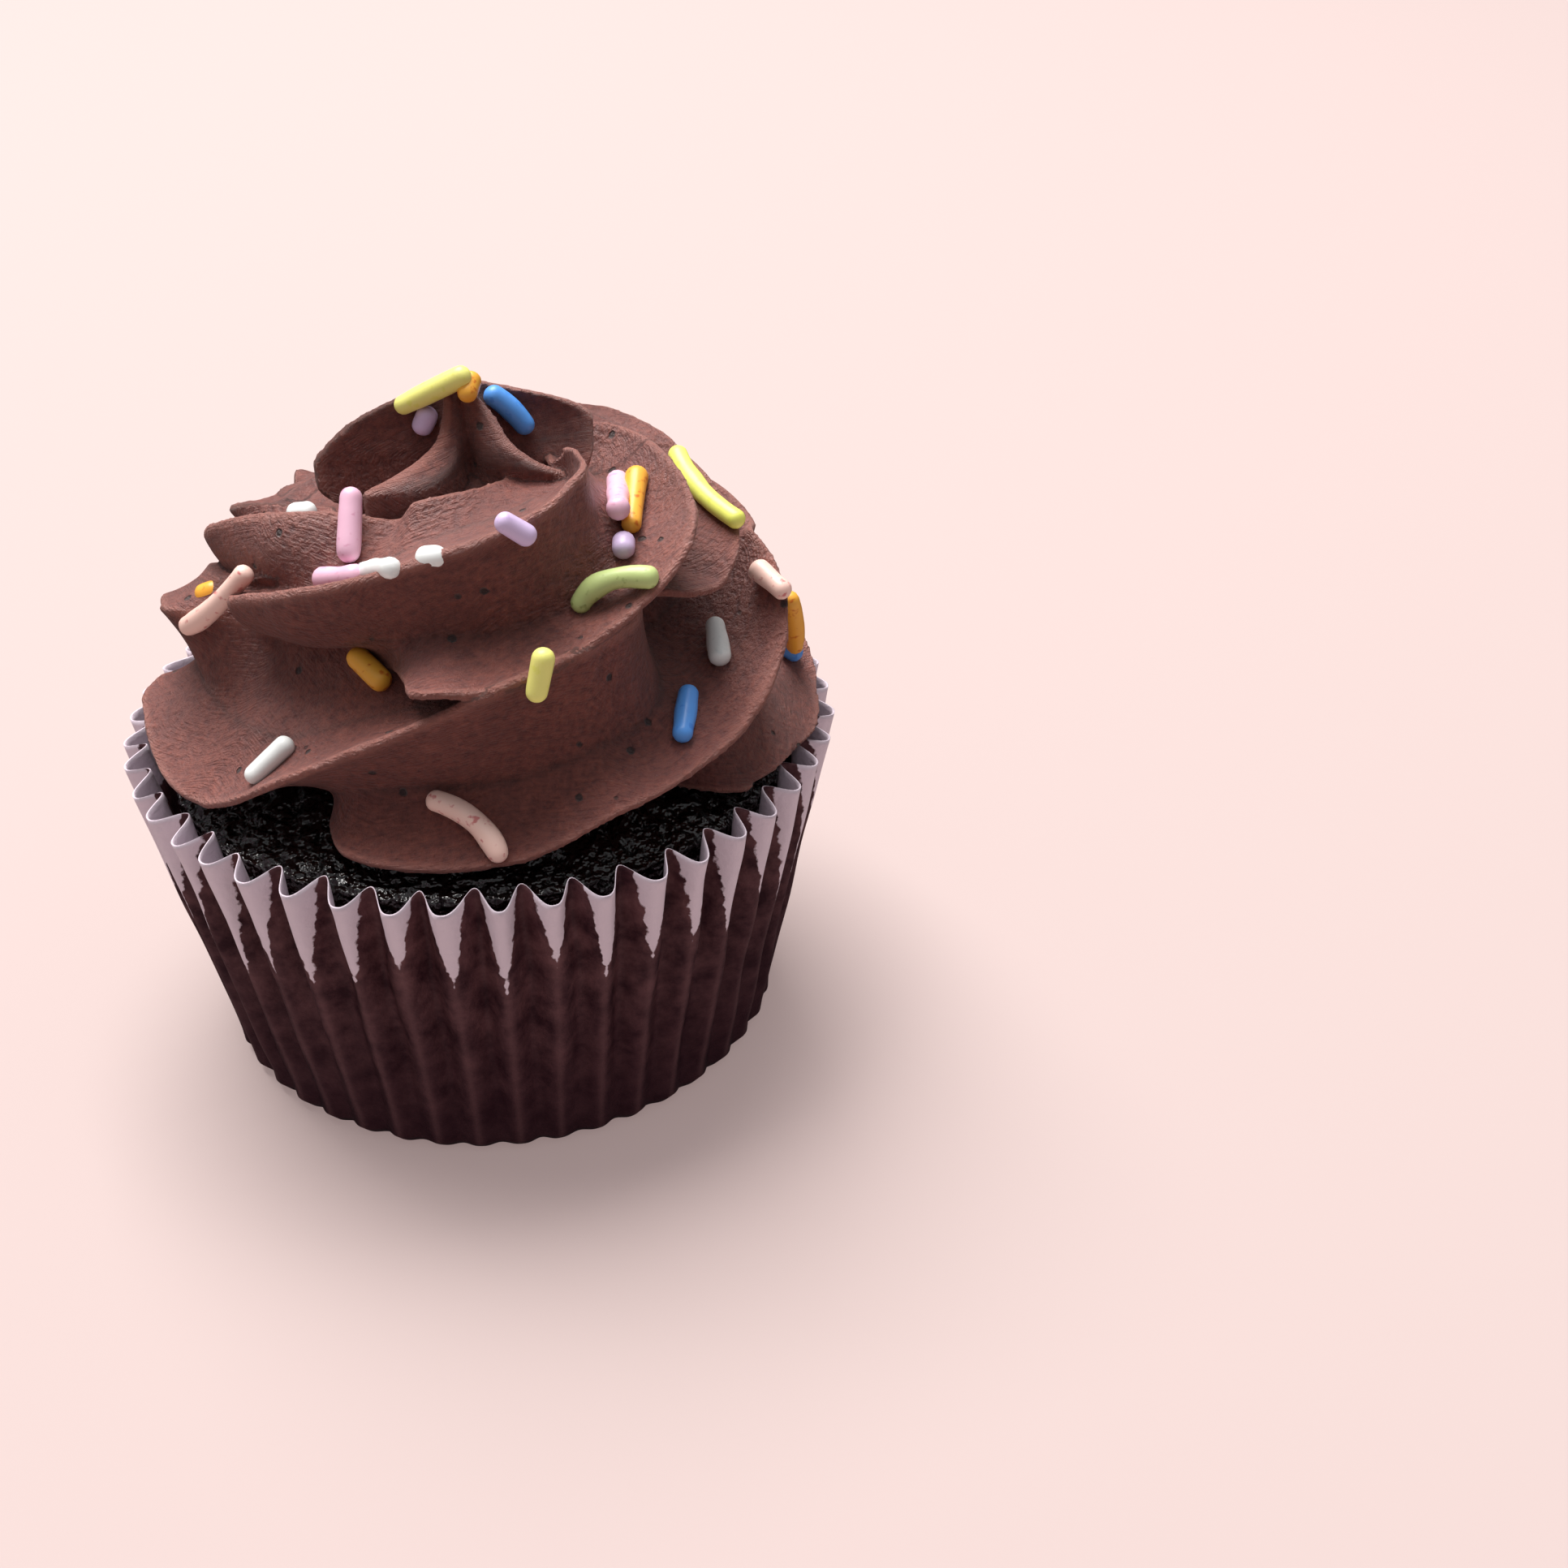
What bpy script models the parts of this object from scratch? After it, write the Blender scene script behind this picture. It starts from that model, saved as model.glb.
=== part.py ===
"""A frosted cupcake in its fluted paper case, with a piped swirl and sprinkles.

Bearings are degrees round the upright axis, seen from above: 0 is the front (-Y), 90 the right (+X).
Sizes are millimetres, turned into Blender's metres by MM. The part stands on z = 0.
"""

import itertools
import math

import bmesh
import bpy
import numpy as np
from mathutils import Matrix, Vector
from mathutils.bvhtree import BVHTree

MM = 0.001

# Paper case
RIM_RADIUS = 34.0
BASE_RADIUS = 27.6
CASE_HEIGHT = 32.35
FLUTES = 45
FLUTE_BEARING = 1.0
FLUTE_DEPTH_RIM = 2.6
FLUTE_DEPTH_BASE = 0.5
FOLD_RISE = 0.8
PAPER = 0.35
CORNER = 1.2
FOOT_INSET = 0.84
COLUMNS_PER_FLUTE = 4

# Cake inside the case
CAKE_CLEARANCE = 0.35
CAKE_EDGE_HEIGHT = 31.0
CAKE_EDGE_RADIUS = 30.5
CAKE_CROWN = 34.4
CAKE_SIDES = 72
CAKE_RING_SHARES = (1.0, 0.93, 0.84, 0.7, 0.5, 0.25)

# Piped swirl: a five-finned rope laid round the cake, held at one bearing all the way
FINS = 5
FIN_STEP = 360 // FINS
FIRST_BEARING = -162
FIRST_UPPER_BEARING = 270
ROPE_START = -190
ROPE_END = 560
ROPE_ROWS = 375
FLANK_COLUMNS = 9
FACE_COLUMNS = 6
CREASE_SHARE = 0.72
LEAST_TURN = 3
FLANK_BULGE = -0.05
FACE_BULGE = -0.08
EDGE_HALF_WIDTH = 0.4
CAKE_GAP = 0.6
RIM_CLEAR_HEIGHT = 33.8
RIM_CLEAR_RADII = (29.8, 30.6)
SHOWN_FADE = 12
FROSTING_VOXEL = 0.27
FROSTING_TRIANGLES = 7000

# Rope's middle line: run in degrees, radius, height, and how far its creases lie from it
ROPE_PATH = [
    (-190, 15.0, 43.0, 8.0),
    (-130, 16.0, 43.6, 9.2),
    (90, 16.4, 44.0, 9.2),
    (190, 16.0, 46.6, 8.0),
    (230, 16.0, 47.4, 5.6),
    (262, 16.0, 48.4, 5.0),
    (295, 16.0, 50.4, 5.6),
    (330, 16.0, 51.6, 6.2),
    (400, 15.8, 52.6, 6.2),
    (450, 13.0, 54.0, 6.2),
    (560, 6.0, 54.5, 6.0),
]

# How a fin's edge runs as the rope turns past the fin's own bearing: turn, radius, height
LOWER_EDGE = [
    (-180, 4.0, 45.0),
    (-130, 6.0, 40.0),
    (-98, 12.0, 34.6),
    (-80, 23.0, 34.4),
    (-70, 28.6, 34.2),
    (-45, 29.4, 34.2),
    (-20, 29.8, 37.6),
    (10, 30.0, 43.0),
    (32, 27.8, 49.3),
    (60, 22.5, 52.8),
    (110, 12.0, 54.0),
    (180, 4.0, 46.0),
]
UPPER_EDGE = [
    (-180, 4.0, 46.0),
    (-80, 15.0, 46.0),
    (-66, 19.0, 48.5),
    (-58, 25.5, 50.0),
    (-30, 24.5, 51.0),
    (0, 22.6, 55.4),
    (26, 19.0, 57.6),
    (50, 14.5, 58.6),
    (90, 9.0, 59.0),
    (180, 4.0, 57.0),
]

# Stretches of edge that the photograph shows, by the fin's bearing: run, radius, height
SHOWN_EDGES = {
    -234: [(212, 14.0, 50.0), (240, 11.0, 51.0), (262, 9.0, 51.5), (290, 8.0, 52.0)],
    -162: [(-125, 24.0, 46.5), (-110, 20.5, 48.0), (-95, 17.0, 49.0), (-80, 14.0, 49.5), (-60, 12.0, 50.0)],
    -90: [
        (-115, 30.0, 38.0),
        (-100, 29.5, 41.5),
        (-90, 29.0, 44.5),
        (-80, 28.0, 46.0),
        (-74, 27.5, 47.2),
        (-69, 24.0, 47.4),
        (-60, 20.0, 46.8),
        (-45, 17.5, 47.4),
        (-10, 15.0, 49.0),
        (40, 11.0, 50.0),
    ],
    -18: [
        (-95, 24.0, 34.8),
        (-84, 30.0, 37.3),
        (-77, 31.3, 37.2),
        (-57, 31.0, 34.7),
        (-48, 30.3, 34.7),
        (-42, 29.7, 35.8),
        (-28, 28.5, 40.3),
        (-14, 27.0, 44.0),
        (15, 26.0, 50.0),
        (24, 25.5, 51.0),
        (42, 24.0, 51.6),
        (54, 20.0, 51.6),
        (66, 15.5, 51.0),
        (85, 12.0, 51.0),
    ],
    54: [
        (-34, 18.0, 34.0),
        (-23, 26.0, 34.2),
        (-17, 28.5, 34.0),
        (-7, 29.0, 33.6),
        (12, 29.0, 34.0),
        (30, 30.0, 37.5),
        (53, 30.2, 39.5),
        (72, 30.5, 44.5),
        (77, 30.0, 47.4),
        (82, 28.5, 50.0),
        (88, 26.0, 52.0),
    ],
    126: [
        (48, 22.0, 34.0),
        (54, 28.5, 33.8),
        (58, 30.5, 33.6),
        (70, 32.2, 33.6),
        (94, 32.4, 34.0),
        (105, 31.5, 36.5),
        (140, 30.0, 43.0),
        (168, 28.0, 49.0),
    ],
    198: [
        (205, 27.0, 43.0),
        (220, 24.0, 47.0),
        (233, 20.5, 49.8),
        (256, 20.5, 51.7),
        (264, 21.8, 52.4),
        (273, 20.2, 54.2),
        (285, 16.8, 55.8),
        (300, 12.5, 56.5),
    ],
    270: [
        (225, 22.5, 42.0),
        (241, 22.0, 44.5),
        (256, 22.0, 48.0),
        (264, 22.8, 50.0),
        (270, 23.8, 50.9),
        (277, 23.2, 52.8),
        (284, 22.2, 54.6),
        (292, 20.0, 56.2),
        (301, 17.8, 57.3),
        (315, 14.6, 58.0),
        (335, 10.5, 57.0),
    ],
    342: [
        (265, 11.0, 44.5),
        (285, 16.0, 46.0),
        (298, 21.0, 50.0),
        (304, 23.0, 51.0),
        (311, 22.5, 52.3),
        (334, 21.5, 55.6),
        (362, 20.5, 59.2),
        (389, 19.5, 61.8),
        (398, 18.3, 62.7),
        (406, 17.0, 63.2),
        (412, 14.5, 63.0),
        (425, 11.0, 61.5),
    ],
    414: [
        (320, 11.0, 46.0),
        (335, 15.0, 46.0),
        (347, 19.0, 47.5),
        (353, 23.0, 48.8),
        (357, 26.5, 49.5),
        (362, 27.2, 49.9),
        (368, 26.5, 49.4),
        (398, 25.0, 52.5),
        (415, 25.5, 56.8),
        (421, 24.5, 58.1),
        (438, 19.8, 60.0),
        (450, 17.0, 60.2),
        (490, 9.5, 59.0),
    ],
    486: [
        (395, 15.0, 47.0),
        (408, 19.0, 49.5),
        (416, 21.5, 51.3),
        (422, 24.3, 50.8),
        (427, 25.5, 50.8),
        (432, 26.0, 52.5),
        (437, 25.7, 53.8),
        (450, 22.6, 55.7),
        (462, 20.6, 56.8),
        (490, 17.0, 58.2),
        (505, 14.5, 58.6),
        (530, 10.0, 59.0),
    ],
}

# Creases that the photograph shows, by the bearing of the fin below them: run, radius, height
SHOWN_CREASES = {
    -18: [(-85, 25.0, 38.0), (-43, 24.0, 40.2), (-14, 20.7, 41.4), (10, 20.0, 45.0), (30, 20.0, 47.0)],
    54: [
        (-30, 22.5, 35.6),
        (-20, 23.5, 36.6),
        (-7, 23.5, 38.1),
        (39, 23.7, 39.5),
        (50, 22.8, 40.4),
        (60, 19.5, 41.8),
        (70, 16.0, 43.4),
        (80, 14.5, 45.0),
        (92, 14.0, 47.0),
    ],
    126: [(56, 25.0, 34.6), (66, 26.0, 34.6), (80, 26.0, 36.5), (100, 25.5, 40.0)],
    342: [
        (262, 20.0, 46.5),
        (285, 19.5, 48.0),
        (298, 19.4, 49.6),
        (312, 18.6, 51.6),
        (328, 17.0, 54.0),
        (345, 14.8, 56.2),
        (360, 12.8, 57.3),
        (400, 11.0, 58.5),
    ],
    414: [
        (300, 19.6, 46.4),
        (312, 19.4, 46.9),
        (325, 19.3, 47.8),
        (337, 19.4, 49.2),
        (347, 19.6, 50.4),
        (361, 19.9, 51.0),
        (380, 19.9, 51.2),
        (393, 19.8, 51.8),
        (404, 19.6, 54.3),
        (420, 18.0, 56.3),
        (440, 14.0, 57.0),
        (460, 10.0, 57.0),
    ],
    486: [(412, 20.0, 49.0), (418, 19.0, 48.8), (426, 18.5, 49.3), (435, 18.0, 51.0), (460, 17.0, 53.5)],
}

# Flanks that swell instead of sagging, by the fin's bearing: run, share of the flank's length
SHOWN_SWELLS = {
    270: [(236, FLANK_BULGE), (262, 0.16), (305, 0.15), (345, FLANK_BULGE)],
    342: [(285, FLANK_BULGE), (302, 0.16), (325, 0.12), (350, 0.04), (395, FLANK_BULGE)],
}

# Peak where the nozzle lifts off: each petal's edge, and the crease after it, as height, radius,
# bearing; then how far the two sides of that crease swell past a straight line
PEAK_PETALS = [
    (
        [
            (54.5, 9.5, -72),
            (57.2, 12.8, -76),
            (59.1, 12.9, -78),
            (60.9, 11.5, -79),
            (62.9, 8.9, -80),
            (66.0, 2.0, -80),
        ],
        [(54.5, 6.0, -60), (58.0, 3.6, -58), (60.0, 2.6, -50), (62.0, 1.6, -44), (66.0, 0.4, -40)],
        (-0.06, -0.03),
    ),
    (
        [
            (54.5, 8.0, -38),
            (56.5, 10.8, -42),
            (58.7, 10.9, -42),
            (59.8, 8.6, -34),
            (60.8, 5.6, -26),
            (62.0, 3.6, -17),
            (63.5, 2.5, -16),
            (66.0, 1.4, -25),
        ],
        [(54.5, 3.2, 26), (57.0, 2.6, 27), (60.0, 1.4, 28), (62.5, 0.8, 30), (66.0, 0.3, 30)],
        (0.24, 0.16),
    ),
    (
        [
            (54.5, 8.5, 74),
            (57.0, 11.6, 77),
            (58.2, 11.2, 74),
            (58.9, 10.0, 68),
            (60.2, 8.0, 59),
            (61.7, 6.0, 53),
            (63.7, 4.0, 56),
            (66.2, 1.6, 45),
        ],
        [(54.5, 6.5, 78), (58.0, 6.0, 79), (60.0, 4.6, 77), (62.0, 3.2, 76), (66.2, 0.7, 76)],
        (-0.08, -0.08),
    ),
    (
        [
            (54.5, 9.0, 88),
            (57.5, 11.2, 87),
            (60.0, 11.9, 94),
            (62.0, 11.9, 97),
            (63.1, 10.7, 98),
            (64.0, 8.5, 99),
            (64.8, 5.7, 99),
            (65.6, 2.8, 100),
            (66.3, 0.9, 100),
        ],
        [(54.5, 6.0, 135), (60.0, 4.6, 135), (66.0, 0.7, 135)],
        (0.05, -0.04),
    ),
    (
        [(54.5, 9.5, 182), (57.5, 12.0, 180), (59.5, 11.8, 178), (61.5, 9.4, 176), (66.0, 1.6, 176)],
        [(54.5, 6.0, 238), (60.0, 4.8, 238), (66.0, 0.7, 238)],
        (0.08, -0.04),
    ),
]
PEAK_FOOT = 54.5
PEAK_TIP = 66.3
PEAK_ROWS = 48
CORE_RADIUS = 12.0
CORE_HALF_HEIGHT = 18.0
CORE_CENTRE_HEIGHT = 40.5
CORE_ROWS = 18
CORE_COLUMNS = 40
CORE_POLE = 0.06

# Sprinkles
SPRINKLE_RADIUS = 0.98
SPRINKLE_LENGTH = 6.5
SPRINKLE_SIDES = 6
SPRINKLE_SINK = 0.25
SIGHT_SAMPLES = 7
SIGHT_INSET = 0.6
SIGHT_OVERLAP = 0.05
LEAST_FACING = 0.3
HIDDEN_SPRINKLES = 16
HIDDEN_BEARINGS = (115, 265)
HIDDEN_HEIGHTS = (36, 60)
HIDDEN_SPAN = 1.4
SPRINKLE_SEED = 7
EYE = (29.06, -174.95, 138.38)

# Sprinkles that the photograph shows. Each has a colour, how deep it is sunk, and marks along it: across
# and up in millimetres on the upright plane through the axis. They are carried along the lines of sight
# onto the frosting.
SHOWN_SPRINKLES = [
    ("yellow", SPRINKLE_SINK, (-5.1, 63.5), (1.1, 66.6)),
    ("orange", SPRINKLE_SINK, (1.6, 66.4), (0.9, 64.4)),
    ("blue", SPRINKLE_SINK, (3.0, 64.8), (4.7, 63.4), (6.2, 61.3)),
    ("lavender", SPRINKLE_SINK, (-2.5, 63.1), (-3.4, 61.3)),
    ("pink", SPRINKLE_SINK, (-10.3, 55.2), (-11.3, 48.6)),
    ("lavender", SPRINKLE_SINK, (3.1, 52.4), (5.7, 50.6)),
    ("pink", 1.1, (-14.4, 46.3), (-10.4, 46.7)),
    ("white", 1.6, (-10.6, 46.9), (-7.0, 47.6)),
    ("peach", SPRINKLE_SINK, (-27.4, 41.3), (-24.7, 43.2), (-20.8, 47.3)),
    ("orange", SPRINKLE_SINK, (-11.9, 38.3), (-9.4, 35.0)),
    ("white", SPRINKLE_SINK, (-23.6, 24.3), (-19.6, 28.2)),
    ("yellow", SPRINKLE_SINK, (6.2, 38.3), (5.1, 33.6)),
    ("peach", SPRINKLE_SINK, (-6.1, 21.6), (-2.1, 19.1), (0.2, 14.6)),
    ("green", SPRINKLE_SINK, (9.8, 43.4), (12.5, 46.1), (17.1, 46.4)),
    ("pink", SPRINKLE_SINK, (14.0, 56.9), (13.9, 53.0)),
    ("orange", SPRINKLE_SINK, (15.8, 57.3), (15.0, 51.6)),
    ("lavender", SPRINKLE_SINK, (14.3, 50.7), (14.2, 49.0)),
    ("lime", SPRINKLE_SINK, (19.4, 59.3), (21.3, 55.6), (25.1, 52.2)),
    ("white", SPRINKLE_SINK, (22.5, 41.8), (23.0, 37.6)),
    ("blue", SPRINKLE_SINK, (19.9, 34.3), (19.1, 29.0)),
    ("peach", SPRINKLE_SINK, (26.4, 47.6), (29.2, 44.9)),
    ("orange", SPRINKLE_SINK, (29.5, 44.6), (30.0, 41.4), (29.9, 38.1)),
    ("blue", SPRINKLE_SINK, (28.9, 39.3), (30.4, 38.2)),
    ("white", 1.75, (-16.0, 53.1), (-14.1, 53.2)),
    ("white", 1.8, (-4.6, 48.4), (-2.6, 48.7)),
    ("orange", 1.7, (-25.6, 44.6), (-23.8, 45.3)),
]


def eased(value, start, end):
    """0 before start, 1 past end, with a smooth change between."""
    share = np.clip((value - start) / (end - start), 0, 1)
    return share * share * (3 - 2 * share)


def through(keys, run):
    """A smooth curve through hand-set keys (run, values), level past its ends, without overshoot."""
    keys = np.array(keys, float)
    knots, values = keys[:, 0], keys[:, 1:]
    run = np.clip(run, knots[0], knots[-1])
    cell = np.clip(np.searchsorted(knots, run) - 1, 0, len(knots) - 2)
    step = np.diff(knots)[:, None]
    slope = np.diff(values, axis=0) / step
    product = slope[1:] * slope[:-1]
    total = slope[1:] + slope[:-1]
    inner = np.where(product > 0, 2 * product / np.where(total == 0, 1, total), 0)
    tangent = np.vstack([slope[:1], inner, slope[-1:]])
    t = ((run - knots[cell]) / step[cell, 0])[:, None]
    return (
        values[cell] * (1 + 2 * t) * (1 - t) ** 2
        + step[cell] * tangent[cell] * t * (1 - t) ** 2
        + values[cell + 1] * t * t * (3 - 2 * t)
        + step[cell] * tangent[cell + 1] * t * t * (t - 1)
    )


def at_bearing(bearing, radius, height):
    """Points from a bearing in degrees, a radius and a height, stacked on a last axis."""
    angle = np.radians(bearing)
    across = radius * np.sin(angle)
    back = -radius * np.cos(angle)
    return np.stack(np.broadcast_arrays(across, back, height), axis=-1)


def plain_material(name, colour, roughness):
    material = bpy.data.materials.new(name)
    material.use_nodes = True
    shader = material.node_tree.nodes["Principled BSDF"]
    shader.inputs["Base Color"].default_value = (*colour, 1)
    shader.inputs["Roughness"].default_value = roughness
    return material


def mesh_object(name, points, faces):
    """An object from points in millimetres and faces, shaded smooth."""
    mesh = bpy.data.meshes.new(name)
    mesh.from_pydata([tuple(point) for point in np.asarray(points) * MM], [], faces)
    mesh.update()
    mesh.shade_smooth()
    result = bpy.data.objects.new(name, mesh)
    bpy.context.scene.collection.objects.link(result)
    return result


def ring_faces(rows, columns):
    """Quads of a tube whose rings run one way round, and the two fans that close it."""
    faces = []
    for row in range(rows - 1):
        for column in range(columns):
            after = (column + 1) % columns
            low = row * columns
            high = low + columns
            faces.append((low + column, low + after, high + after, high + column))
    first = rows * columns
    last = (rows - 1) * columns
    for column in range(columns):
        after = (column + 1) % columns
        faces.append((first, after, column))
        faces.append((first + 1, last + column, last + after))
    return faces


def closed_tube(name, rings):
    """A closed body from rings of points, with its two ends closed by fans."""
    rows, columns = rings.shape[:2]
    ends = [rings[0].mean(axis=0), rings[-1].mean(axis=0)]
    points = np.vstack([rings.reshape(-1, 3), ends])
    return mesh_object(name, points, ring_faces(rows, columns))


def keep_evaluated(target):
    """Replace the object's mesh by what its modifiers make of it."""
    graph = bpy.context.evaluated_depsgraph_get()
    mesh = bpy.data.meshes.new_from_object(target.evaluated_get(graph))
    target.modifiers.clear()
    target.data = mesh


def case_ring(height_share, inset):
    """One ring of the case's wall: radius swings between inner and outer folds, and rims dip outside."""
    columns = FLUTES * COLUMNS_PER_FLUTE
    bearing = FLUTE_BEARING + np.arange(columns) * 360 / columns
    fold = (1 - np.cos(np.radians((bearing - FLUTE_BEARING) * FLUTES))) / 2
    radius = BASE_RADIUS + (RIM_RADIUS - BASE_RADIUS) * height_share
    depth = FLUTE_DEPTH_BASE + (FLUTE_DEPTH_RIM - FLUTE_DEPTH_BASE) * height_share
    height = CASE_HEIGHT * height_share + FOLD_RISE * fold * eased(height_share, 0.8, 1.0)
    return at_bearing(bearing, radius - depth * fold - inset, height)


def paper_case():
    """Outer wall up from the floor, over the rim, and down inside to the floor's upper face."""
    corner_share = CORNER / CASE_HEIGHT
    foot = case_ring(0.0, FOOT_INSET)
    outer = [foot, case_ring(corner_share, 0.0), case_ring(0.5, 0.0), case_ring(1.0, 0.0)]
    inner = [
        case_ring(1.0, PAPER),
        case_ring(0.5, PAPER),
        case_ring(corner_share, PAPER),
        case_ring(0.0, FOOT_INSET + PAPER) + np.array([0, 0, PAPER]),
    ]
    case = closed_tube("paper_case", np.array(outer + inner))
    case.data.materials.append(plain_material("brown_baking_paper", (0.10, 0.045, 0.04), 0.75))


def cake_top(radius):
    """Height of the cake's crown: nearly level, falling away at the edge."""
    share = np.clip(np.abs(radius) / CAKE_EDGE_RADIUS, 0, 2)
    return CAKE_CROWN - (CAKE_CROWN - CAKE_EDGE_HEIGHT) * share**4


def sponge():
    """The cake, turned: it fills the case to its inner folds and rises a little above the edge."""
    floor = PAPER + CAKE_CLEARANCE
    lowest = BASE_RADIUS - FLUTE_DEPTH_BASE - PAPER - CAKE_CLEARANCE - CORNER
    profile = [(lowest, floor), (lowest + CORNER, floor + CORNER)]
    for share in CAKE_RING_SHARES:
        radius = CAKE_EDGE_RADIUS * share
        profile.append((radius, float(cake_top(radius))))
    bearing = np.arange(CAKE_SIDES) * 360 / CAKE_SIDES
    rings = np.array([at_bearing(bearing, radius, height) for radius, height in profile])
    cake = closed_tube("sponge", rings)
    cake.data.materials.append(plain_material("dark_chocolate_crumb", (0.012, 0.008, 0.008), 0.4))


def with_shown(shown, run, ruled):
    """Blend a hand-set stretch into a ruled curve over its run. Places are radius + height * i."""
    rise = eased(run, shown[0][0] - SHOWN_FADE, shown[0][0])
    weight = rise * (1 - eased(run, shown[-1][0], shown[-1][0] + SHOWN_FADE))
    return ruled + (through(shown, run) @ (1, 1j) - ruled) * weight


def fin_bearings(fin, run):
    """The bearing at which this fin last faces, or next will face, for each point of the run."""
    first = FIRST_BEARING + FIN_STEP * fin
    return first + 360 * np.round((run - first) / 360)


def is_fin(fin, bearing):
    """Whether the fin faces this bearing on one of its turns."""
    return (bearing - FIRST_BEARING - FIN_STEP * fin) % 360 == 0


def fin_edge(fin, run):
    """One fin's edge along the rope, as radius + height * i: ruled, then as shown where it shows."""
    bearing = fin_bearings(fin, run)
    lower = through(LOWER_EDGE, run - bearing) @ (1, 1j)
    upper = through(UPPER_EDGE, run - bearing) @ (1, 1j)
    edge = np.where(bearing >= FIRST_UPPER_BEARING, upper, lower)
    for shown_bearing, shown in SHOWN_EDGES.items():
        if is_fin(fin, shown_bearing):
            edge = with_shown(shown, run, edge)
    return edge


def fold_side(edge, crease, nearness, bulge, outward):
    """A point between a crease and the edge it rises to. The way swells out by a share of its length,
    and the edge is blunt: it lies half the edge's width off the line."""
    way = edge - crease
    side = outward * way / np.abs(way)
    swell = 4 * bulge * np.abs(way) * nearness * (1 - nearness)
    return crease + way * nearness + side * (swell + EDGE_HALF_WIDTH * nearness)


def folded(edges, creases, bulges, outward):
    """A star's outline from its edges and the creases between: from each edge to the crease after it
    and on to the next edge. Outward is 1j or -1j, by which way round the edges are listed."""
    points = []
    for index, (edge, crease) in enumerate(zip(edges, creases)):
        following = edges[(index + 1) % len(edges)]
        for near in np.linspace(1, 0, FLANK_COLUMNS):
            points.append(fold_side(edge, crease, near, bulges[index][0], -outward))
        for near in np.linspace(0, 1, FACE_COLUMNS)[1:]:
            points.append(fold_side(following, crease, near, bulges[index][1], outward))
    return np.array(points).T


def rope_sections(run):
    """The rope's star-shaped sections along the run, as radius + height * i."""
    path = through(ROPE_PATH, run)
    middle = path[:, :2] @ (1, 1j)
    edges = [fin_edge(fin, run) for fin in range(FINS)]
    angles = []
    for fin, edge in enumerate(edges):
        ruled = run - fin_bearings(fin, run)
        angles.append(ruled + (np.angle(edge - middle, deg=True) - ruled + 180) % 360 - 180)
    creases = []
    for fin in range(FINS):
        below = (fin + 1) % FINS
        gap = (angles[fin] - angles[below]) % 360
        crease = middle + path[:, 2] * np.exp(1j * np.radians(angles[fin] - gap * CREASE_SHARE))
        for shown_bearing, shown in SHOWN_CREASES.items():
            if is_fin(below, shown_bearing):
                crease = with_shown(shown, run, crease)
        spoke = crease - middle
        turn = np.clip((angles[fin] - np.angle(spoke, deg=True)) % 360, LEAST_TURN, gap - LEAST_TURN)
        creases.append(middle + np.abs(spoke) * np.exp(1j * np.radians(angles[fin] - turn)))
    swells = [FLANK_BULGE + 0 * run] * FINS
    for shown_bearing, shown in SHOWN_SWELLS.items():
        fin = (shown_bearing - FIRST_BEARING) // FIN_STEP % FINS
        swells[fin] = through(shown, run)[:, 0]
    return folded(edges, creases, [(swell, FACE_BULGE) for swell in swells], 1j)


def rope():
    """The rope as one closed body, kept clear of the cake and of the paper's rim."""
    run = np.linspace(ROPE_START, ROPE_END, ROPE_ROWS)
    section = rope_sections(run)
    radius = section.real
    over_rim = eased(np.abs(radius), *RIM_CLEAR_RADII) * RIM_CLEAR_HEIGHT
    height = np.maximum(section.imag, np.maximum(cake_top(radius) + CAKE_GAP, over_rim))
    return closed_tube("rope", at_bearing(run[:, None], radius, height)[:, ::-1])


def peak():
    """The last of the rope, standing: five petals that curl apart as they come down from the tip."""
    heights = np.linspace(PEAK_FOOT, PEAK_TIP, PEAK_ROWS)
    edges = []
    creases = []
    for edge_keys, crease_keys, _ in PEAK_PETALS:
        for keys, outline in ((edge_keys, edges), (crease_keys, creases)):
            radius, bearing = through(keys, heights).T
            outline.append(radius * np.exp(1j * np.radians(bearing)))
    section = folded(edges, creases, [swells for _, _, swells in PEAK_PETALS], -1j)
    rings = at_bearing(np.angle(section, deg=True), np.abs(section), heights[:, None])
    return closed_tube("peak", rings)


def core():
    """Frosting inside the coil, so that the swirl is solid."""
    bearing = np.arange(CORE_COLUMNS) * 360 / CORE_COLUMNS
    rings = []
    for angle in np.linspace(CORE_POLE, 1 - CORE_POLE, CORE_ROWS) * math.pi:
        height = CORE_CENTRE_HEIGHT - CORE_HALF_HEIGHT * math.cos(angle)
        height = max(height, CAKE_CROWN + CAKE_GAP)
        rings.append(at_bearing(bearing, CORE_RADIUS * math.sin(angle), height))
    return closed_tube("core", np.array(rings))


def join(parts, name):
    with bpy.context.temp_override(active_object=parts[0], selected_editable_objects=parts):
        bpy.ops.object.join()
    parts[0].name = name
    return parts[0]


def fill_cavities(target):
    """Fill what is sealed inside: of the mesh's separate shells, only the largest is kept."""
    skin = bmesh.new()
    skin.from_mesh(target.data)
    shells = []
    waiting = set(skin.verts)
    while waiting:
        shell = []
        reached = [waiting.pop()]
        while reached:
            vertex = reached.pop()
            shell.append(vertex)
            for edge in vertex.link_edges:
                other = edge.other_vert(vertex)
                if other in waiting:
                    waiting.remove(other)
                    reached.append(other)
        shells.append(shell)
    shells.sort(key=len)
    for shell in shells[:-1]:
        bmesh.ops.delete(skin, geom=shell, context="VERTS")
    skin.to_mesh(target.data)
    skin.free()


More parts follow.
